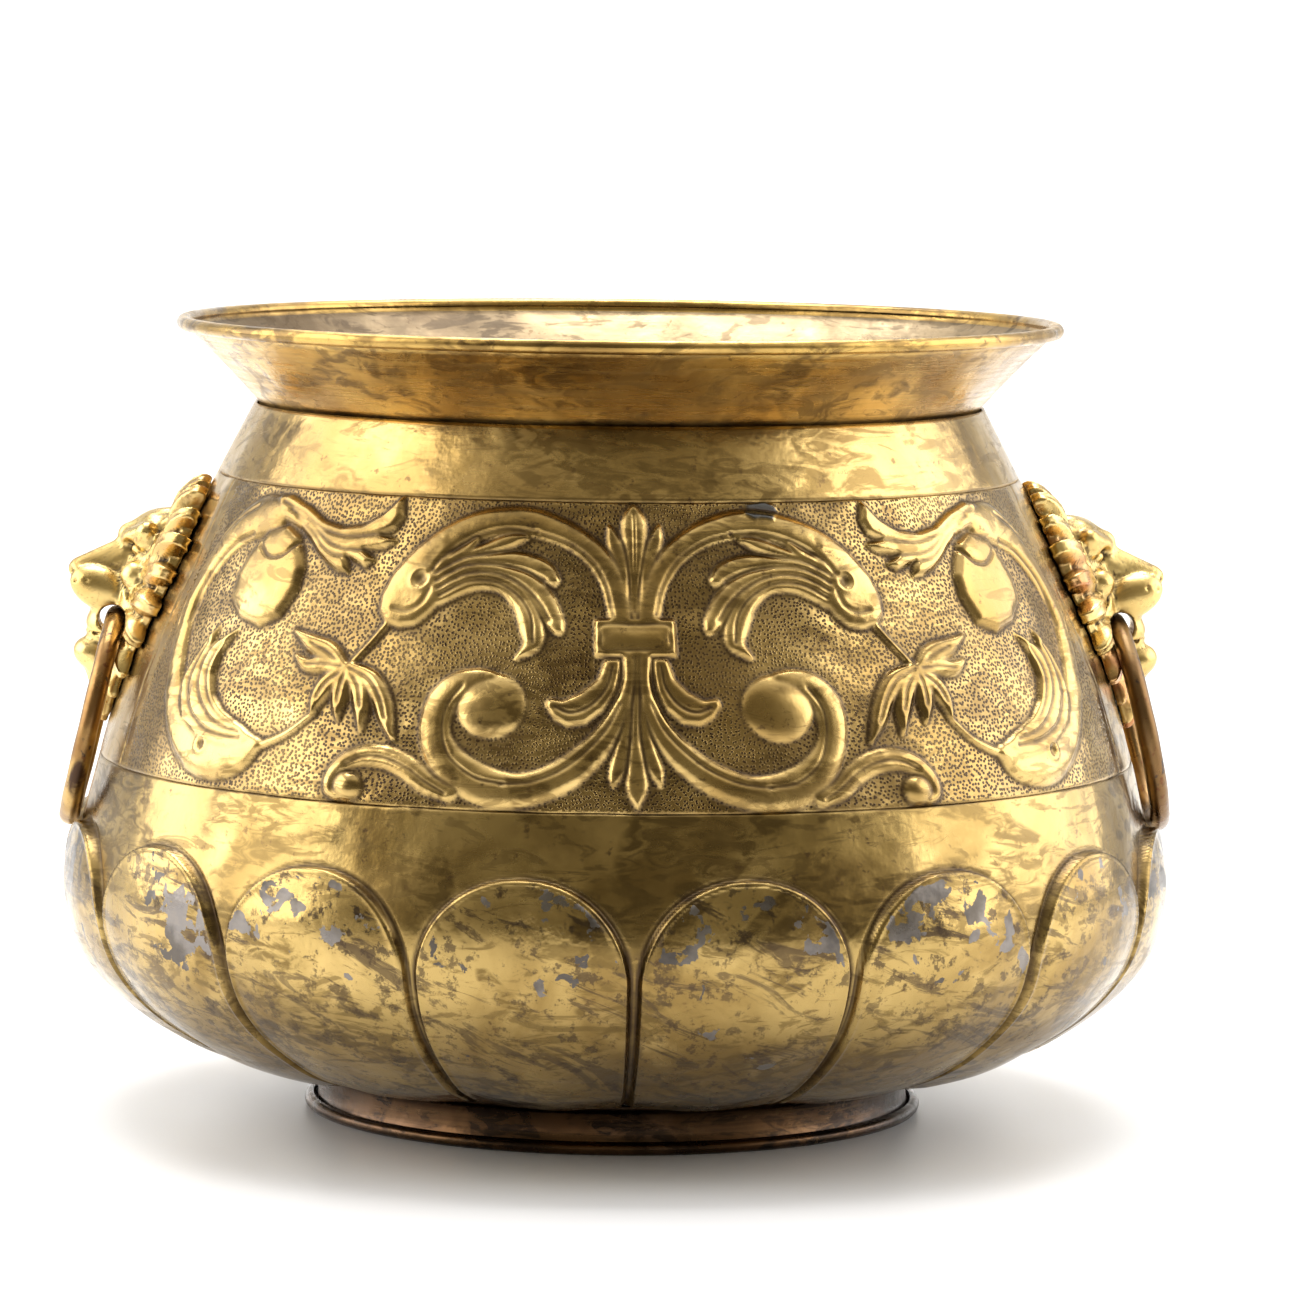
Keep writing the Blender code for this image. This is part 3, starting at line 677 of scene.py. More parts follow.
def wall_shell(name, line, halves, material):
    """One full turn of the bowl's wall from its front and back halves: relief outside, a plain skin
    inside. Each half is (heights in mm, values), and its last column is the next half's first."""
    heights = np.hstack([half[0][:, :-1] for half in halves])
    rows, columns = heights.shape
    angles = np.arange(columns) * 2 * math.pi / columns - math.pi / 2
    out = -normals_of(line)
    if out[rows // 2, 0] < 0:
        out = -out
    radii = line[:, 0][:, None] + out[:, 0][:, None] * heights * MM
    z = line[:, 1][:, None] + out[:, 1][:, None] * heights * MM
    inner_line, _ = evenly(line - out * BOWL_SHEET, INNER_SPACING)
    inner_line = inner_line[::-1]
    inner_rows = len(inner_line)
    inner_r = np.repeat(inner_line[:, 0][:, None], columns, 1)
    inner_z = np.repeat(inner_line[:, 1][:, None], columns, 1)
    points = around(np.vstack([radii, inner_r]), np.vstack([z, inner_z]), angles)
    quads = grid_faces(rows + inner_rows, columns, True, True)
    flat = np.zeros((rows + inner_rows, columns), bool)
    flat[rows - 1] = True
    flat[-1] = True
    filled = {}
    for key, value in halves[0][1].items():
        if isinstance(value, tuple):
            flat_place = np.zeros((rows + inner_rows, columns, 3))
            for axis in range(2):
                flat_place[:rows, :, axis] = np.hstack([half[1][key][axis][:, :-1] for half in halves])
            filled[key] = flat_place.reshape(-1, 3)
        else:
            outer = np.hstack([half[1][key][:, :-1] for half in halves])
            filled[key] = np.vstack([outer, np.zeros((inner_rows, columns))])
    points = points.reshape(-1, 3)
    piece = mesh_piece(
        name, points, quads, "planter", material, ("bowl",), flat.ravel(), filled
    )
    piece.data.materials.append(paint_inside)
    inside = np.zeros((rows + inner_rows, columns), np.int32)
    inside[rows:] = 1
    piece.data.polygons.foreach_set("material_index", inside.ravel())


BAND_COLUMNS = 861
BAND_SPACING = 0.00065
GROUND_END = 218.0  # the punched ground stops there; beyond it the band is plain under the masks
SOLDER = (54.0, 113.5)  # an old repair on the front, where the band meets the neck
band_line, band_at = bowl_between(BAND_TOP, BAND_BOTTOM, BAND_SPACING)
band_halves = []
for side, seed in (("front", 3), ("back", 11)):
    across = np.linspace(-1, 1, BAND_COLUMNS)[None, :] * math.pi / 2 * PANEL_RADIUS
    upward = ((band_at[-1] - band_at) / MM)[:, None]
    calm = np.clip((math.pi / 2 - np.abs(across) / PANEL_RADIUS) / SEAM_CALM, 0, 1)
    x = across + 0.7 * lumps(across, upward, 60.0, seed)
    t = upward + 0.6 * lumps(across, upward, 70.0, seed + 1)
    height = sampled(panel, np.abs(x), t, PITCH)
    edges = np.minimum(upward, upward.max() - upward)
    height = height * np.clip(edges / 1.2, 0, 1)
    ground = sampled(panel_ground, np.abs(x), t, PITCH) * np.clip((edges - 0.6) / 0.8, 0, 1)
    # Grime and painted shade: darker in the drawing's hollows and along the scored edges.
    grime_and_shade = sampled(panel_cavity, np.abs(x), t, PITCH)
    solder_at = np.hypot((across - SOLDER[0]) / 8.5, (upward - SOLDER[1]) / 4.2)
    solder_at = solder_at + 0.25 * lumps(across, upward, 7.0, 5)
    solder = np.clip((1.05 - solder_at) / 0.2, 0, 1) * (side == "front")
    height = height + 0.5 * solder
    ground = ground * (1 - solder) * np.clip((GROUND_END - np.abs(x)) / 3, 0, 1)
    score_up = np.exp(-(((np.abs(x) - GROUND_END - 6) / 0.6) ** 2))
    height = height - 0.25 * score_up
    score = np.exp(-((edges / 0.55) ** 2))
    height = height - 0.3 * score + 0.22 * calm * lumps(across, upward, 26.0, seed + 2)
    grime_and_shade = np.clip(grime_and_shade + 0.5 * score, 0, 1)
    sheet_place = (across + 0 * upward, upward + 0 * across)
    values = {"grime_and_shade": grime_and_shade * 0.9, "ground": ground, "solder": solder, "sheet_place": sheet_place}
    band_halves.append((height, values))
wall_shell("bowl_band", band_line, band_halves, paint_band)

LOBE_COLUMNS = 801
LOBE_SPACING = 0.0010
lobe_line, lobe_at = bowl_between(BAND_BOTTOM, LOBE_FOOT, LOBE_SPACING)
spring_at = np.interp(-LOBE_SPRING, -lobe_line[:, 1], lobe_at)
top_at = np.interp(-LOBE_TOP, -lobe_line[:, 1], lobe_at)
foot_at = lobe_at[-1]
lobe_halves = []
for seed in (23, 31):
    turn = np.linspace(-math.pi / 2, math.pi / 2, LOBE_COLUMNS)[None, :]
    step = 2 * math.pi / LOBES
    off = (turn / step - np.floor(turn / step) - 0.5) * step
    wide = lobe_line[:, 0][:, None] / MM
    y = np.abs(off) * wide
    v = ((spring_at - lobe_at) / MM)[:, None]
    gap = np.interp(lobe_at, [top_at, spring_at, foot_at], [1.7, 1.7, 0.7])[:, None]
    half = wide * step / 2 - gap
    arch = (spring_at - top_at) / MM
    spring_half = np.interp(spring_at, lobe_at, half[:, 0])
    above = spring_half * (1 - np.hypot(y / spring_half, np.maximum(v, 0) / arch))
    depth_in = np.where(v > 0, above, half - y)
    fade = np.clip((foot_at - lobe_at) / 0.020, 0, 1)[:, None] ** 0.7
    rise = np.clip((depth_in + 0.4) / 1.9, 0, 1)
    rise = np.sin(rise * math.pi / 2) ** 1.2
    dome = np.clip(1 - (y / half) ** 2, 0, 1)
    bead = np.exp(-(((depth_in - 1.5) / 0.9) ** 2))
    ditch = np.exp(-(((depth_in + 0.8) / 0.8) ** 2))
    height = fade * (2.3 * rise + 2.2 * rise * dome + 0.6 * bead) - 0.5 * ditch * fade
    turned_mm = turn * PANEL_RADIUS
    down = (lobe_at / MM)[:, None]
    calm = np.clip((math.pi / 2 - np.abs(turn)) / SEAM_CALM, 0, 1)
    height = height + 0.25 * calm * lumps(turned_mm, down, 30.0, seed)
    score = np.exp(-((down / 0.55) ** 2))
    height = height - 0.3 * score
    # Grime and painted shade in the ditch round each lobe and in the scored groove at the top.
    grime_and_shade = np.clip(np.exp(-((depth_in + 0.7) ** 2)) + 0.5 * score, 0, 1)
    ripe = 1 - 0.25 * np.clip((down - 46.0) / 26.0, 0, 1)
    drift = np.clip(0.96 + 0.2 * lumps(turned_mm, down, 110.0, seed + 5), 0, 1)
    patina = np.clip(0.6 + depth_in / 8, 0, 1) * ripe * drift
    lobe_halves.append((height, {"grime_and_shade": grime_and_shade, "ground": grime_and_shade * 0, "patina": patina}))
wall_shell("bowl_lobes", lobe_line, lobe_halves, paint_lobes)

shoulder_line, _ = bowl_between(BOWL_PROFILE[0][1], BAND_TOP, 0.0016)
shoulder_line = shoulder_line[::-1]
shoulder_loop = np.vstack([shoulder_line, (shoulder_line + normals_of(shoulder_line) * BOWL_SHEET)[::-1]])
# Grime and painted shade along the groove where the shoulder meets the band.
shoulder_grime_and_shade = 0.5 * np.exp(-(((shoulder_line[:, 1] - BAND_TOP) / 0.0008) ** 2))
turned(
    "bowl_shoulder", shoulder_loop, 360, paint_plain, ("bowl",),
    values={"grime_and_shade": np.concatenate([shoulder_grime_and_shade, np.zeros(len(shoulder_line))])},
)
bottom_line = [(BOTTOM_RADIUS, LOBE_FOOT), (0.1160, 0.0194), (0.1080, BOTTOM_HEIGHT)]
bottom_line += [(0.06, BOTTOM_HEIGHT), (0.0004, BOTTOM_HEIGHT)]
bottom_line = curve_through(bottom_line, 5)
bottom_loop = np.vstack([bottom_line, (bottom_line + np.array([0.0, BOWL_SHEET]))[::-1]])
turned("bowl_bottom", bottom_loop, 180, paint_inside, ("bowl",))

# ---- the collar and the foot --------------------------------------------------------------
NECK_RADIUS = 0.13735
CONE_LOW = (0.13760, 0.2716)
CONE_HIGH = (0.16395, 0.2988)
CONE_BULGE = 0.0006
COLLAR_COLUMNS = 420
BEAD_TURNS = np.radians(np.arange(200, -95, -12))
collar_line = [(NECK_RADIUS, 0.2630), (NECK_RADIUS, 0.2712)]
for share in np.linspace(0.03, 1.0, 14):
    r = CONE_LOW[0] + share * (CONE_HIGH[0] - CONE_LOW[0])
    z = CONE_LOW[1] + share * (CONE_HIGH[1] - CONE_LOW[1]) + CONE_BULGE * math.sin(share * math.pi)
    collar_line.append((r, z))
for angle in BEAD_TURNS:
    r = RIM_CENTRE[0] + (RIM_BEAD - TRIM_SHEET / 2) * math.cos(angle)
    collar_line.append((r, RIM_CENTRE[1] + (RIM_BEAD - TRIM_SHEET / 2) * math.sin(angle)))
collar_line = np.array(collar_line)
side_way = normals_of(collar_line) * TRIM_SHEET / 2
collar_loop = np.vstack([collar_line - side_way, (collar_line + side_way)[::-1]])
# Grime and painted shade in the crease where the neck meets the cone.
collar_grime_and_shade = 0.8 * np.exp(-(((collar_loop[:, 1] - 0.2714) / 0.0011) ** 2))
collar = turned(
    "collar_flared", collar_loop, COLLAR_COLUMNS, paint_collar, ("flared_collar",),
    wobble=0.0006, values={"grime_and_shade": collar_grime_and_shade},
)
# Inside, the cone has a paint of its own; at the back it is tarnished left and a little far right.
collar.data.materials.append(paint_collar_inside)
inside_row = np.zeros(len(collar_loop), np.int32)
inside_row[len(collar_line) + len(BEAD_TURNS) :] = 1
collar.data.polygons.foreach_set("material_index", np.repeat(inside_row, COLLAR_COLUMNS))
grime_and_shade_layer = collar.data.attributes["grime_and_shade"]
crease_grime_and_shade = np.zeros(len(collar.data.vertices), np.float32)
spots = np.zeros(3 * len(crease_grime_and_shade), np.float32)
grime_and_shade_layer.data.foreach_get("value", crease_grime_and_shade)
collar.data.vertices.foreach_get("co", spots)
spots = spots.reshape(-1, 3)
to_left = np.clip((-0.005 - spots[:, 0]) / 0.04, 0, 1) + 0.5 * np.clip((spots[:, 0] - 0.10) / 0.05, 0, 1)
within = np.repeat(inside_row, COLLAR_COLUMNS) * (spots[:, 1] > 0)
grime_and_shade_layer.data.foreach_set("value", np.maximum(crease_grime_and_shade, 0.55 * to_left * within).astype(np.float32))

FOOT_BEAD = 0.0025
FOOT_BEAD_RADIUS = 0.1162
foot_line = [(0.1172, 0.0182), (0.1160, 0.0172), (0.1145, 0.0160), (0.1136, 0.0148), (0.1130, 0.0125)]
foot_line += [(0.1128, 0.0100), (0.1128, 0.0075), (0.1132, 0.0050)]
for angle in np.radians(np.arange(180, 480, 14)):
    r = FOOT_BEAD_RADIUS + (FOOT_BEAD - TRIM_SHEET / 2) * math.cos(angle)
    foot_line.append((r, FOOT_BEAD + (FOOT_BEAD - TRIM_SHEET / 2) * math.sin(angle)))
foot_line = np.array(foot_line)
side_way = normals_of(foot_line) * TRIM_SHEET / 2
foot_loop = np.vstack([foot_line - side_way, (foot_line + side_way)[::-1]])
# The top of the foot, where it meets the bowl, is darkened with grime and painted shade.
turned(
    "foot_ring_turned", foot_loop, 360, paint_foot_shaded, ("foot_ring",),
    values={"grime_and_shade": 0.8 * np.exp(-(((foot_loop[:, 1] - 0.0182) / 0.0012) ** 2))},
)


# ---- the lion masks -----------------------------------------------------------------------
def surface_nets(field, origin, step):
    """A closed quad mesh on the zero level of a sampled field that is negative inside."""
    shape = np.array(field.shape) - 1
    sums = np.zeros((*shape, 3))
    counts = np.zeros(shape)
    edges = []
    for axis in range(3):
        a = np.moveaxis(field, axis, 0)[:-1]
        b = np.moveaxis(field, axis, 0)[1:]
        i, j, k = np.nonzero((a < 0) != (b < 0))
        inward = a[i, j, k] < 0
        part = a[i, j, k] / (a[i, j, k] - b[i, j, k])
        spot = np.empty((len(i), 3))
        cell = np.empty((len(i), 3), int)
        others = [n for n in range(3) if n != axis]
        for column, values in zip((axis, *others), (i, j, k)):
            cell[:, column] = values
            spot[:, column] = values
        spot[:, axis] += part
        quad = []
        for du, dv in ((0, 0), (1, 0), (1, 1), (0, 1)):
            near = cell.copy()
            near[:, others[0]] -= du
            near[:, others[1]] -= dv
            np.add.at(sums, tuple(near.T), spot)
            np.add.at(counts, tuple(near.T), 1)
            quad.append(near)
        flip = inward if axis != 1 else ~inward
        edges.append((quad, flip))
    used = counts > 0
    number = -np.ones(shape, int)
    number[used] = np.arange(used.sum())
    points = sums[used] / counts[used][:, None] * step + origin
    faces = []
    for quad, flip in edges:
        f = np.stack([number[tuple(q.T)] for q in quad], 1)
        f[~flip] = f[~flip][:, ::-1]
        faces.append(f)
    return points, np.vstack(faces)


def joined(a, b, soft):
    """The union of two distance fields, filleted over that distance."""
    h = np.clip(0.5 + 0.5 * (b - a) / soft, 0, 1)
    return b * (1 - h) + a * h - soft * h * (1 - h)


def carved(a, b, soft):
    """Field a with field b cut from it, filleted."""
    return -joined(-a, b, soft)


CROWN_SPREAD = 0.18  # how much wider the mask is at the crown than at its middle


def mask_field(n, w, u):
    """The lion's head as a distance field in millimetres: out of the wall, across, up the wall."""
    side = np.abs(w)

    def egg(centre, radii, across=0.0):
        """A rounded lump with radii out, across and up."""
        out = (n - centre[0]) / radii[0]
        over = (side - across) / radii[1]
        up = (u - centre[1]) / radii[2]
        return (np.sqrt(out**2 + over**2 + up**2) - 1) * min(radii)

    def limb(start, end, r0, r1, a0=0.0, a1=0.0):
        """A round limb from start to end, each (out, up), with a radius and a place across at each."""
        dn = end[0] - start[0]
        da = a1 - a0
        du = end[1] - start[1]
        along = (n - start[0]) * dn + (side - a0) * da + (u - start[1]) * du
        h = np.clip(along / (dn * dn + da * da + du * du), 0, 1)
        off = ((n - start[0] - h * dn) ** 2, (side - a0 - h * da) ** 2, (u - start[1] - h * du) ** 2)
        return np.sqrt(off[0] + off[1] + off[2]) - (r0 + h * (r1 - r0))

    def lock(turn, share, length, width, height, lift):
        """A grooved lump of mane at that turn from the crown, pointing away from the face."""
        spread = MASK_HALF_WIDTH * (1 + CROWN_SPREAD * math.cos(turn))
        middle = np.array([share * spread * math.sin(turn), share * MASK_HALF_HEIGHT * math.cos(turn)])
        way = np.array([math.sin(turn) * 0.9, math.cos(turn)])
        way /= np.hypot(*way)
        a = side - middle[0]
        b = u - middle[1]
        down = a * way[0] + b * way[1]
        over = a * way[1] - b * way[0] - 0.016 * down * down + 0.10 * down
        girth = width * (1 - 0.38 * np.clip(down / length, -0.2, 1.2))
        q = np.sqrt((down / length) ** 2 + (over / girth) ** 2 + ((n - lift + 0.10 * down) / height) ** 2)
        return (q - 1) * width * 0.7 + 0.7 * np.abs(np.sin(over * 0.74 + 1.2)) - 0.35

    bend = np.arctan2(side * MASK_HALF_HEIGHT, u * MASK_HALF_WIDTH)  # 0 at the crown, pi at the beard
    widest = MASK_HALF_WIDTH * (1 + CROWN_SPREAD * np.cos(bend))
    outline = np.hypot(side / widest, u / MASK_HALF_HEIGHT)
    face_of_plate = n - 1.0 - 4.0 * np.clip(1 - outline, 0, 0.4)
    shape = np.maximum(np.maximum((outline - 0.88) * 30, face_of_plate), -12 - n)
    # The mane: an outer ring of locks, and an inner one that lies flatter toward the beard.
    for k in range(11):
        turn = (k + 0.5) / 11 * math.pi
        ahead = 1.0 - 0.30 * (turn > 1.9) * (turn < 2.8) + 0.12 * (k % 2)
        shape = joined(shape, lock(turn, 0.77 + 0.02 * (k % 2), 11.5, 5.9, 6.4 * ahead, 1.6), 0.15)
    for k in range(8):
        turn = (k + 0.1) / 8 * math.pi * 0.95
        ahead = 0.35 + 0.65 * max(0.0, math.cos(turn * 0.62))
        shape = joined(shape, lock(turn, 0.55 + 0.03 * (k % 2), 10.5, 5.8, 6.0, 4.2 * ahead), 0.15)
    # The face.
    shape = joined(shape, egg((4, 4), (12.5, 19, 26)), 2.0)
    shape = joined(shape, egg((8, 22.5), (11.0, 15, 10.5)), 2.5)
    shape = joined(shape, limb((18.6, 18.4), (8.0, 27.0), 5.0, 6.4), 2.0)
    shape = joined(shape, limb((17.2, 18.0), (13.4, 23.0), 4.4, 4.0, 4.6, 13.0), 1.4)
    shape = joined(shape, limb((8.0, 1.0), (21.0, -2.5), 10.6, 7.4), 3.0)
    shape = joined(shape, limb((14.0, 12.0), (25.0, 1.0), 7.2, 5.4), 2.0)
    shape = joined(shape, limb((17.6, 15.0), (31.0, -0.8), 3.8, 4.4), 1.8)
    shape = joined(shape, egg((19.8, -4.4), (13.6, 7.8, 8.6), 4.4), 1.0)
    shape = joined(shape, egg((31.8, -1.6), (3.8, 5.0, 3.4)), 0.9)
    shape = joined(shape, egg((11.8, 19.4), (5.2, 5.0, 4.4), 11.0), 0.8)
    shape = joined(shape, egg((10.6, 5.8), (5.8, 5.8, 5.8), 13.2), 0.9)
    shape = joined(shape, egg((13.4, -16.0), (8.2, 9.8, 9.5)), 2.5)
    shape = joined(shape, egg((13.6, -29.0), (8.0, 7.8, 6.4)), 2.0)
    beard = limb((8.0, -31.0), (1.2, -47.0), 8.4, 2.8)
    comb = 0.5 * (1 - np.abs(np.sin(side * 0.95 + 0.4)))
    shape = joined(shape, beard + comb, 1.6)
    # Eyes under the brow, nostrils, the mouth's line and the dots of the whiskers.
    shape = carved(shape, egg((17.2, 14.6), (4.8, 3.4, 2.8), 9.0), 1.0)
    shape = joined(shape, egg((13.2, 15.2), (3.2, 3.0, 2.2), 9.4), 0.3)
    shape = carved(shape, egg((35.0, -3.0), (3.0, 1.5, 1.2), 3.0), 0.4)
    shape = carved(shape, limb((34.6, -6.0), (28.5, -13.0), 0.7, 0.8), 0.6)
    shape = carved(shape, limb((31.0, 1.4), (18.5, 8.6), 0.3, 0.9, 6.8, 10.2), 1.6)
    shape = carved(shape, limb((17.6, 5.2), (9.0, -3.0), 0.7, 0.7, 11.0, 15.0), 1.4)
    for dot_n, dot_a, dot_u in ((31.0, 8.2, -5.6), (27.2, 11.0, -3.4)):
        shape = carved(shape, egg((dot_n, dot_u), (0.9, 0.9, 0.7), dot_a), 0.3)
    shape = carved(shape, limb((21.6, -20.6), (13.0, -21.0), 0.9, 0.9, 0.0, 9.5), 0.8)
    return shape


MASK_STEP = 0.8
MASK_BOX = ((-13.0, 39.0), (-43.0, 43.0), (-57.0, 58.0))
mask_axes = [np.arange(low, high, MASK_STEP) for low, high in MASK_BOX]
grid_n, grid_w, grid_u = np.meshgrid(*mask_axes, indexing="ij")
cos_tilt = math.cos(MASK_TILT)
sin_tilt = math.sin(MASK_TILT)


def in_row(n, w, u):
    """Mask millimetres to metres in the row frame, on the right-hand side."""
    x = MASK_SEAT[0] + (n * cos_tilt - u * sin_tilt) * MM
    z = MASK_SEAT[1] + (n * sin_tilt + u * cos_tilt) * MM
    return x, w * MM, z


field = mask_field(grid_n, grid_w, grid_u)
grid_x, grid_y, grid_z = in_row(grid_n, grid_w, grid_u)
stand_off = (np.hypot(grid_x, grid_y) - wall_radius(grid_z)) / MM * cos_tilt
field = np.maximum(field, MASK_GAP - stand_off)
field = carved(field, np.hypot(grid_n - BORE[0], grid_u - BORE[1]) - BORE_RADIUS, 0.6)
# Cut away what the ring sweeps through: a torus about the bore's axis over the joint's range.
from_axis_x = (grid_x - RING_AXIS[0]) / MM
from_axis_z = (grid_z - RING_AXIS[1]) / MM
reach = np.hypot(from_axis_x, from_axis_z)
wire_away = np.abs(np.hypot(reach - RING_MEAN / MM, grid_w) - RING_MEAN / MM)
direction = np.degrees(np.arctan2(from_axis_z, from_axis_x))
swing_low = -90 + math.degrees(RING_LEAN) - 4
DEGREE = 0.0175
past_swing = np.maximum(swing_low - direction, direction - (swing_low + RING_SWING))
past_swing = np.clip(past_swing, 0, 40) * reach * DEGREE
RING_CLEARANCE = 0.7
off_wire = wire_away - RING_WIRE / MM - RING_CLEARANCE
swept = np.hypot(np.maximum(off_wire, 0), past_swing) + np.minimum(off_wire, 0) * (past_swing == 0)
field = np.maximum(field, -swept)
spot, quads = surface_nets(field, np.array([axis[0] for axis in mask_axes]), MASK_STEP)


def near_value(volume, places):
    """A sampled volume's values at mask places, at the nearest sample."""
    index = np.round((places - np.array([a[0] for a in mask_axes])) / MASK_STEP).astype(int)
    index = np.clip(index, 0, np.array(volume.shape) - 1)
    return volume[tuple(index.T)]


solid = np.clip(0.5 - field / 2, 0, 1)
for _ in range(9):
    for axis in range(3):
        before = np.moveaxis(solid, axis, 0).copy()
        after = before.copy()
        after[1:-1] = (before[:-2] + 2 * before[1:-1] + before[2:]) / 4
        solid = np.moveaxis(after, 0, axis)
# How crowded each place is, for the grime and painted shade in the mask's hollows.
crowded = near_value(solid, spot)
mask_outline = np.hypot(spot[:, 1] / MASK_HALF_WIDTH, spot[:, 2] / MASK_HALF_HEIGHT)
x, y, z = in_row(*spot.T)
mask_wall = (np.hypot(x, y) - wall_radius(z)) / MM
mask_values = {
    "grime_and_shade": np.clip((crowded - 0.53) / 0.14, 0, 1),
    "copper": np.clip((mask_outline - 0.62) / 0.25, 0, 1),
    # Painted shade in the gap along the wall.
    "edge": np.clip((1.6 - mask_wall) / 1.2, 0, 1),
}
for side, sign, blush in (("right", 1, 1.0), ("left", -1, 0.35)):
    mesh_piece(
        "lion_head_" + side, np.stack([x * sign, y * sign, z], 1), quads, "planter",
        paint_mask, ("lion_mask_" + side,),
        values={**mask_values, "copper": mask_values["copper"] * blush},
    )


# ---- the drop rings -----------------------------------------------------------------------
def drop_ring(side, sign):
    """A bent rod ring hanging from its bore, slightly uneven."""
    turns, round_steps = 200, 28
    a = np.arange(turns) * 2 * math.pi / turns
    b = np.arange(round_steps) * 2 * math.pi / round_steps
    radius = RING_MEAN + 0.00025 * np.sin(2 * a + 1.0) + 0.00015 * np.sin(5 * a)
    thick = RING_WIRE - 0.0001 + 0.00007 * np.sin(3 * a + 0.5) + 0.00006 * np.sin(11 * a)
    out = radius[:, None] + thick[:, None] * np.cos(b)[None, :]
    off = thick[:, None] * np.sin(b)[None, :]
    across = out * np.sin(a)[:, None]
    down = RING_MEAN - out * np.cos(a)[:, None]
    x = RING_AXIS[0] + down * math.sin(RING_LEAN) + off * math.cos(RING_LEAN)
    z = RING_AXIS[1] - down * math.cos(RING_LEAN) + off * math.sin(RING_LEAN)
    points = np.stack([x * sign, across * sign, z], -1).reshape(-1, 3)
    quads = grid_faces(turns, round_steps, True, True)
    # A dark scab low on the left ring's front; the right ring is duller all over.
    scab = np.hypot((a[:, None] - 2.1) / 0.22, ((b[None, :] + math.pi) % (2 * math.pi) - math.pi) / 0.8)
    scab = np.clip((1.1 - scab) / 0.25, 0, 1) * (side == "left")
    dull = np.full(scab.shape, 0.85 if side == "right" else 0.0)
    mesh_piece(
        "drop_ring_" + side, points, quads, side + "_ring", paint_ring, ("ring_" + side,),
        values={"scab": scab, "dull": dull},
    )


drop_ring("right", 1)
drop_ring("left", -1)

for name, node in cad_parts.items():
    if node.hide_render:
        continue
    node.data.materials.clear()
    node.data.materials.append(paint_wire if "wire" in name else paint_fastener)

# ---- the floor, the light and the camera --------------------------------------------------
AZIMUTH = math.radians(2.1)
CAMERA_AWAY = 2.530
CAMERA_HEIGHT = 0.423
CAMERA_DIP = math.radians(5.525)
CAMERA_ROLL = math.radians(0.64)

FLOOR_BACK = 1.6
SWEEP_RADIUS = 0.9
SWEEP_HALF_WIDTH = 4.0
sweep_line = [(-3.0, 0.0), (FLOOR_BACK, 0.0)]
for angle in np.radians(np.arange(0, 91, 9)):
    rise = SWEEP_RADIUS - SWEEP_RADIUS * math.cos(angle)
    sweep_line.append((FLOOR_BACK + SWEEP_RADIUS * math.sin(angle), rise))
sweep_line.append((FLOOR_BACK + SWEEP_RADIUS, 3.0))
sweep_mesh = bpy.data.meshes.new("studio_sweep")
sweep_points = [(x, y, z) for y, z in sweep_line for x in (-SWEEP_HALF_WIDTH, SWEEP_HALF_WIDTH)]
sweep_faces = [(2 * k, 2 * k + 1, 2 * k + 3, 2 * k + 2) for k in range(len(sweep_line) - 1)]
sweep_mesh.from_pydata(sweep_points, [], sweep_faces)
sweep_mesh.shade_smooth()
sweep = bpy.data.objects.new("studio_sweep", sweep_mesh)
bpy.context.scene.collection.objects.link(sweep)
floor_paint = Paint("pale_paper_floor", metallic=0.0)
floor_tone = floor_paint.mix(
    floor_paint.span(floor_paint.noise(3.0, 3.0), 0.3, 0.7), (0.86, 0.86, 0.86), (0.84, 0.84, 0.845)
)
floor_paint.finish(floor_tone, floor_paint.span(floor_paint.noise(5.0), 0.3, 0.7, 0.30, 0.34))
sweep_mesh.materials.append(floor_paint.material)

world = bpy.data.worlds.new("studio")
bpy.context.scene.world = world
world.use_nodes = True
world_nodes = world.node_tree.nodes
facing = world_nodes.new("ShaderNodeTexCoord")
parts = world_nodes.new("ShaderNodeSeparateXYZ")
world.node_tree.links.new(facing.outputs["Generated"], parts.inputs["Vector"])
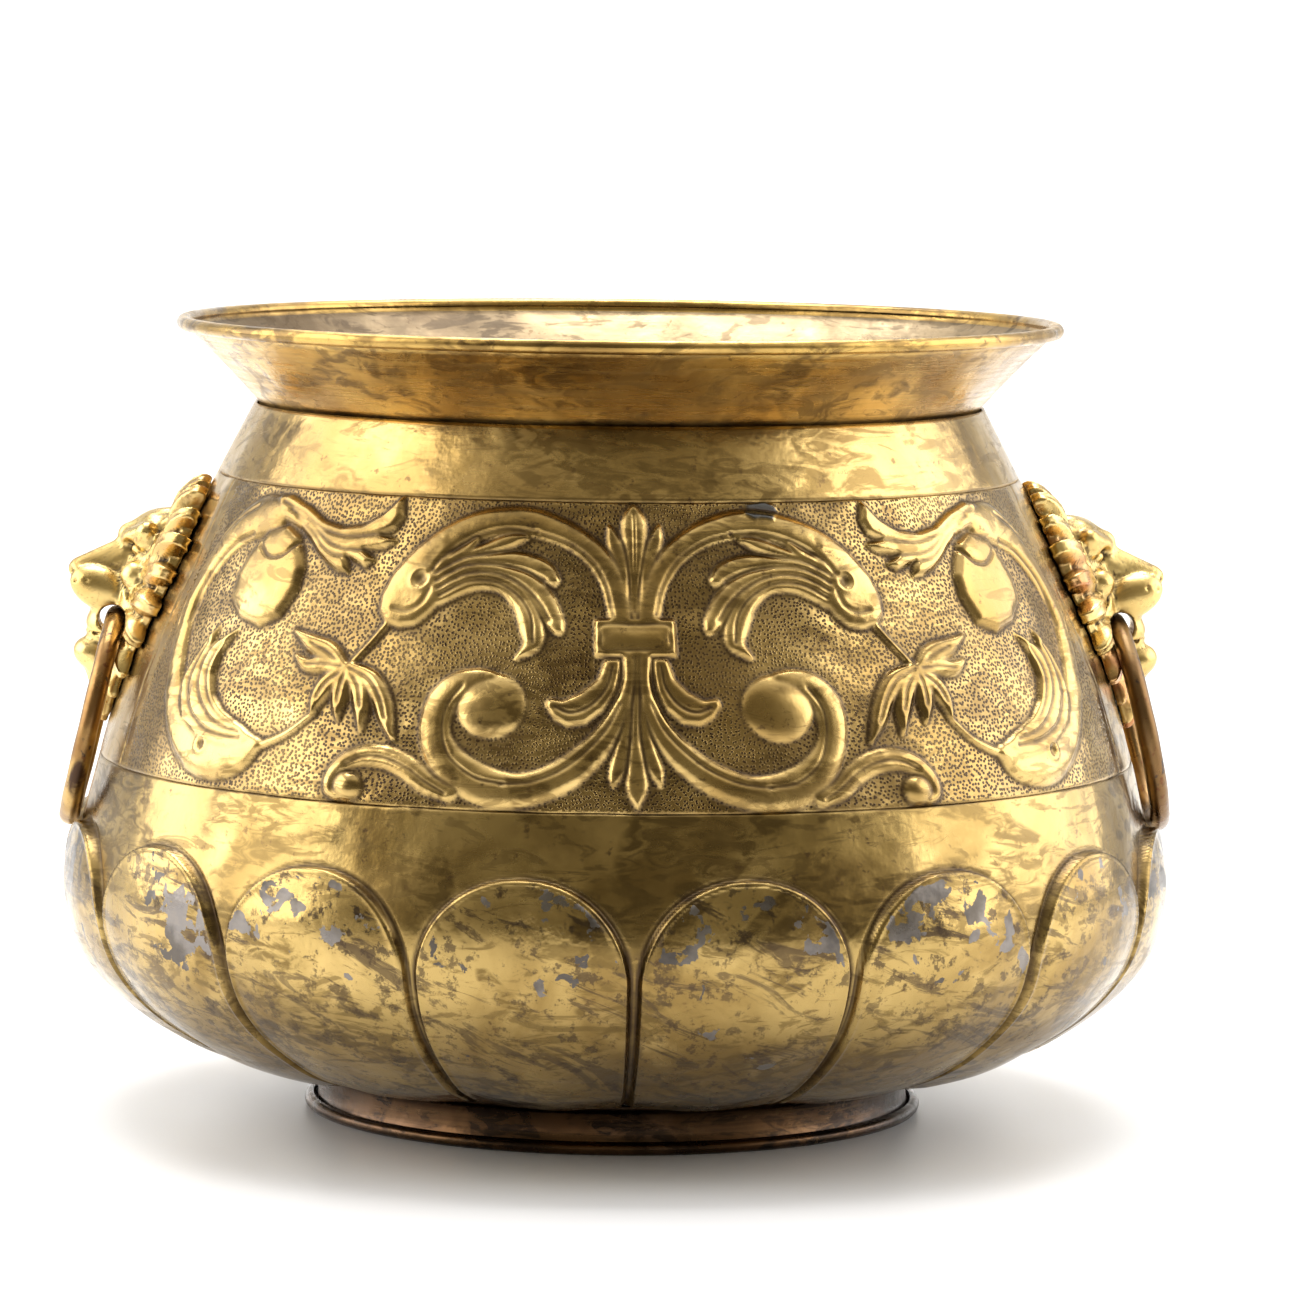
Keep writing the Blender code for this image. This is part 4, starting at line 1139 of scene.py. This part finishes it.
# The room behind the camera is dim and warm; the studio beyond the pot is bright and neutral.
DIM_ROOM, BRIGHT_STUDIO = 0.27, 1.32
fade = world_nodes.new("ShaderNodeMapRange")
fade.interpolation_type = "SMOOTHSTEP"
for key, number in (("From Min", -0.80), ("From Max", -0.10), ("To Min", 0.0), ("To Max", 1.0)):
    fade.inputs[key].default_value = number
world.node_tree.links.new(parts.outputs["Y"], fade.inputs["Value"])
room = world_nodes.new("ShaderNodeValToRGB")
room.color_ramp.elements[0].color = (1.0, 0.90, 0.66, 1.0)
room.color_ramp.elements[1].color = (0.98, 0.98, 1.0, 1.0)
world.node_tree.links.new(fade.outputs["Result"], room.inputs["Fac"])
world.node_tree.links.new(room.outputs["Color"], world_nodes["Background"].inputs["Color"])
power = world_nodes.new("ShaderNodeMapRange")
power.inputs["To Min"].default_value = DIM_ROOM
power.inputs["To Max"].default_value = BRIGHT_STUDIO
world.node_tree.links.new(fade.outputs["Result"], power.inputs["Value"])
world.node_tree.links.new(power.outputs["Result"], world_nodes["Background"].inputs["Strength"])
bpy.context.scene.view_settings.view_transform = "Standard"


def soft_light(name, place, target, size, power):
    light = bpy.data.lights.new(name, "AREA")
    light.shape = "RECTANGLE"
    light.size, light.size_y = size
    light.energy = power
    lamp = bpy.data.objects.new(name, light)
    bpy.context.scene.collection.objects.link(lamp)
    lamp.location = place
    lamp.rotation_euler = (Vector(target) - Vector(place)).to_track_quat("-Z", "Y").to_euler()


soft_light("left_panel", (-1.7, 0.05, 0.9), (0, 0, 0.15), (2.1, 1.6), 28.0)
soft_light("right_panel", (1.7, 0.1, 0.9), (0, 0, 0.15), (2.1, 1.6), 26.0)
soft_light("top_panel", (0.0, 0.7, 2.0), (0, 0.3, 0.0), (1.8, 1.4), 60.0)

camera_data = bpy.data.cameras.new("photo_camera")
camera_data.lens = 184.5
camera_data.sensor_width = 36.0
camera_data.shift_x = 0.0218
camera = bpy.data.objects.new("photo_camera", camera_data)
bpy.context.scene.collection.objects.link(camera)
looking = Matrix.Rotation(-AZIMUTH, 4, "Z") @ Matrix.Rotation(math.radians(90) - CAMERA_DIP, 4, "X")
looking = looking @ Matrix.Rotation(CAMERA_ROLL, 4, "Z")
looking.translation = Vector(
    (-CAMERA_AWAY * math.sin(AZIMUTH), -CAMERA_AWAY * math.cos(AZIMUTH), CAMERA_HEIGHT)
)
camera.matrix_world = looking
bpy.context.scene.camera = camera
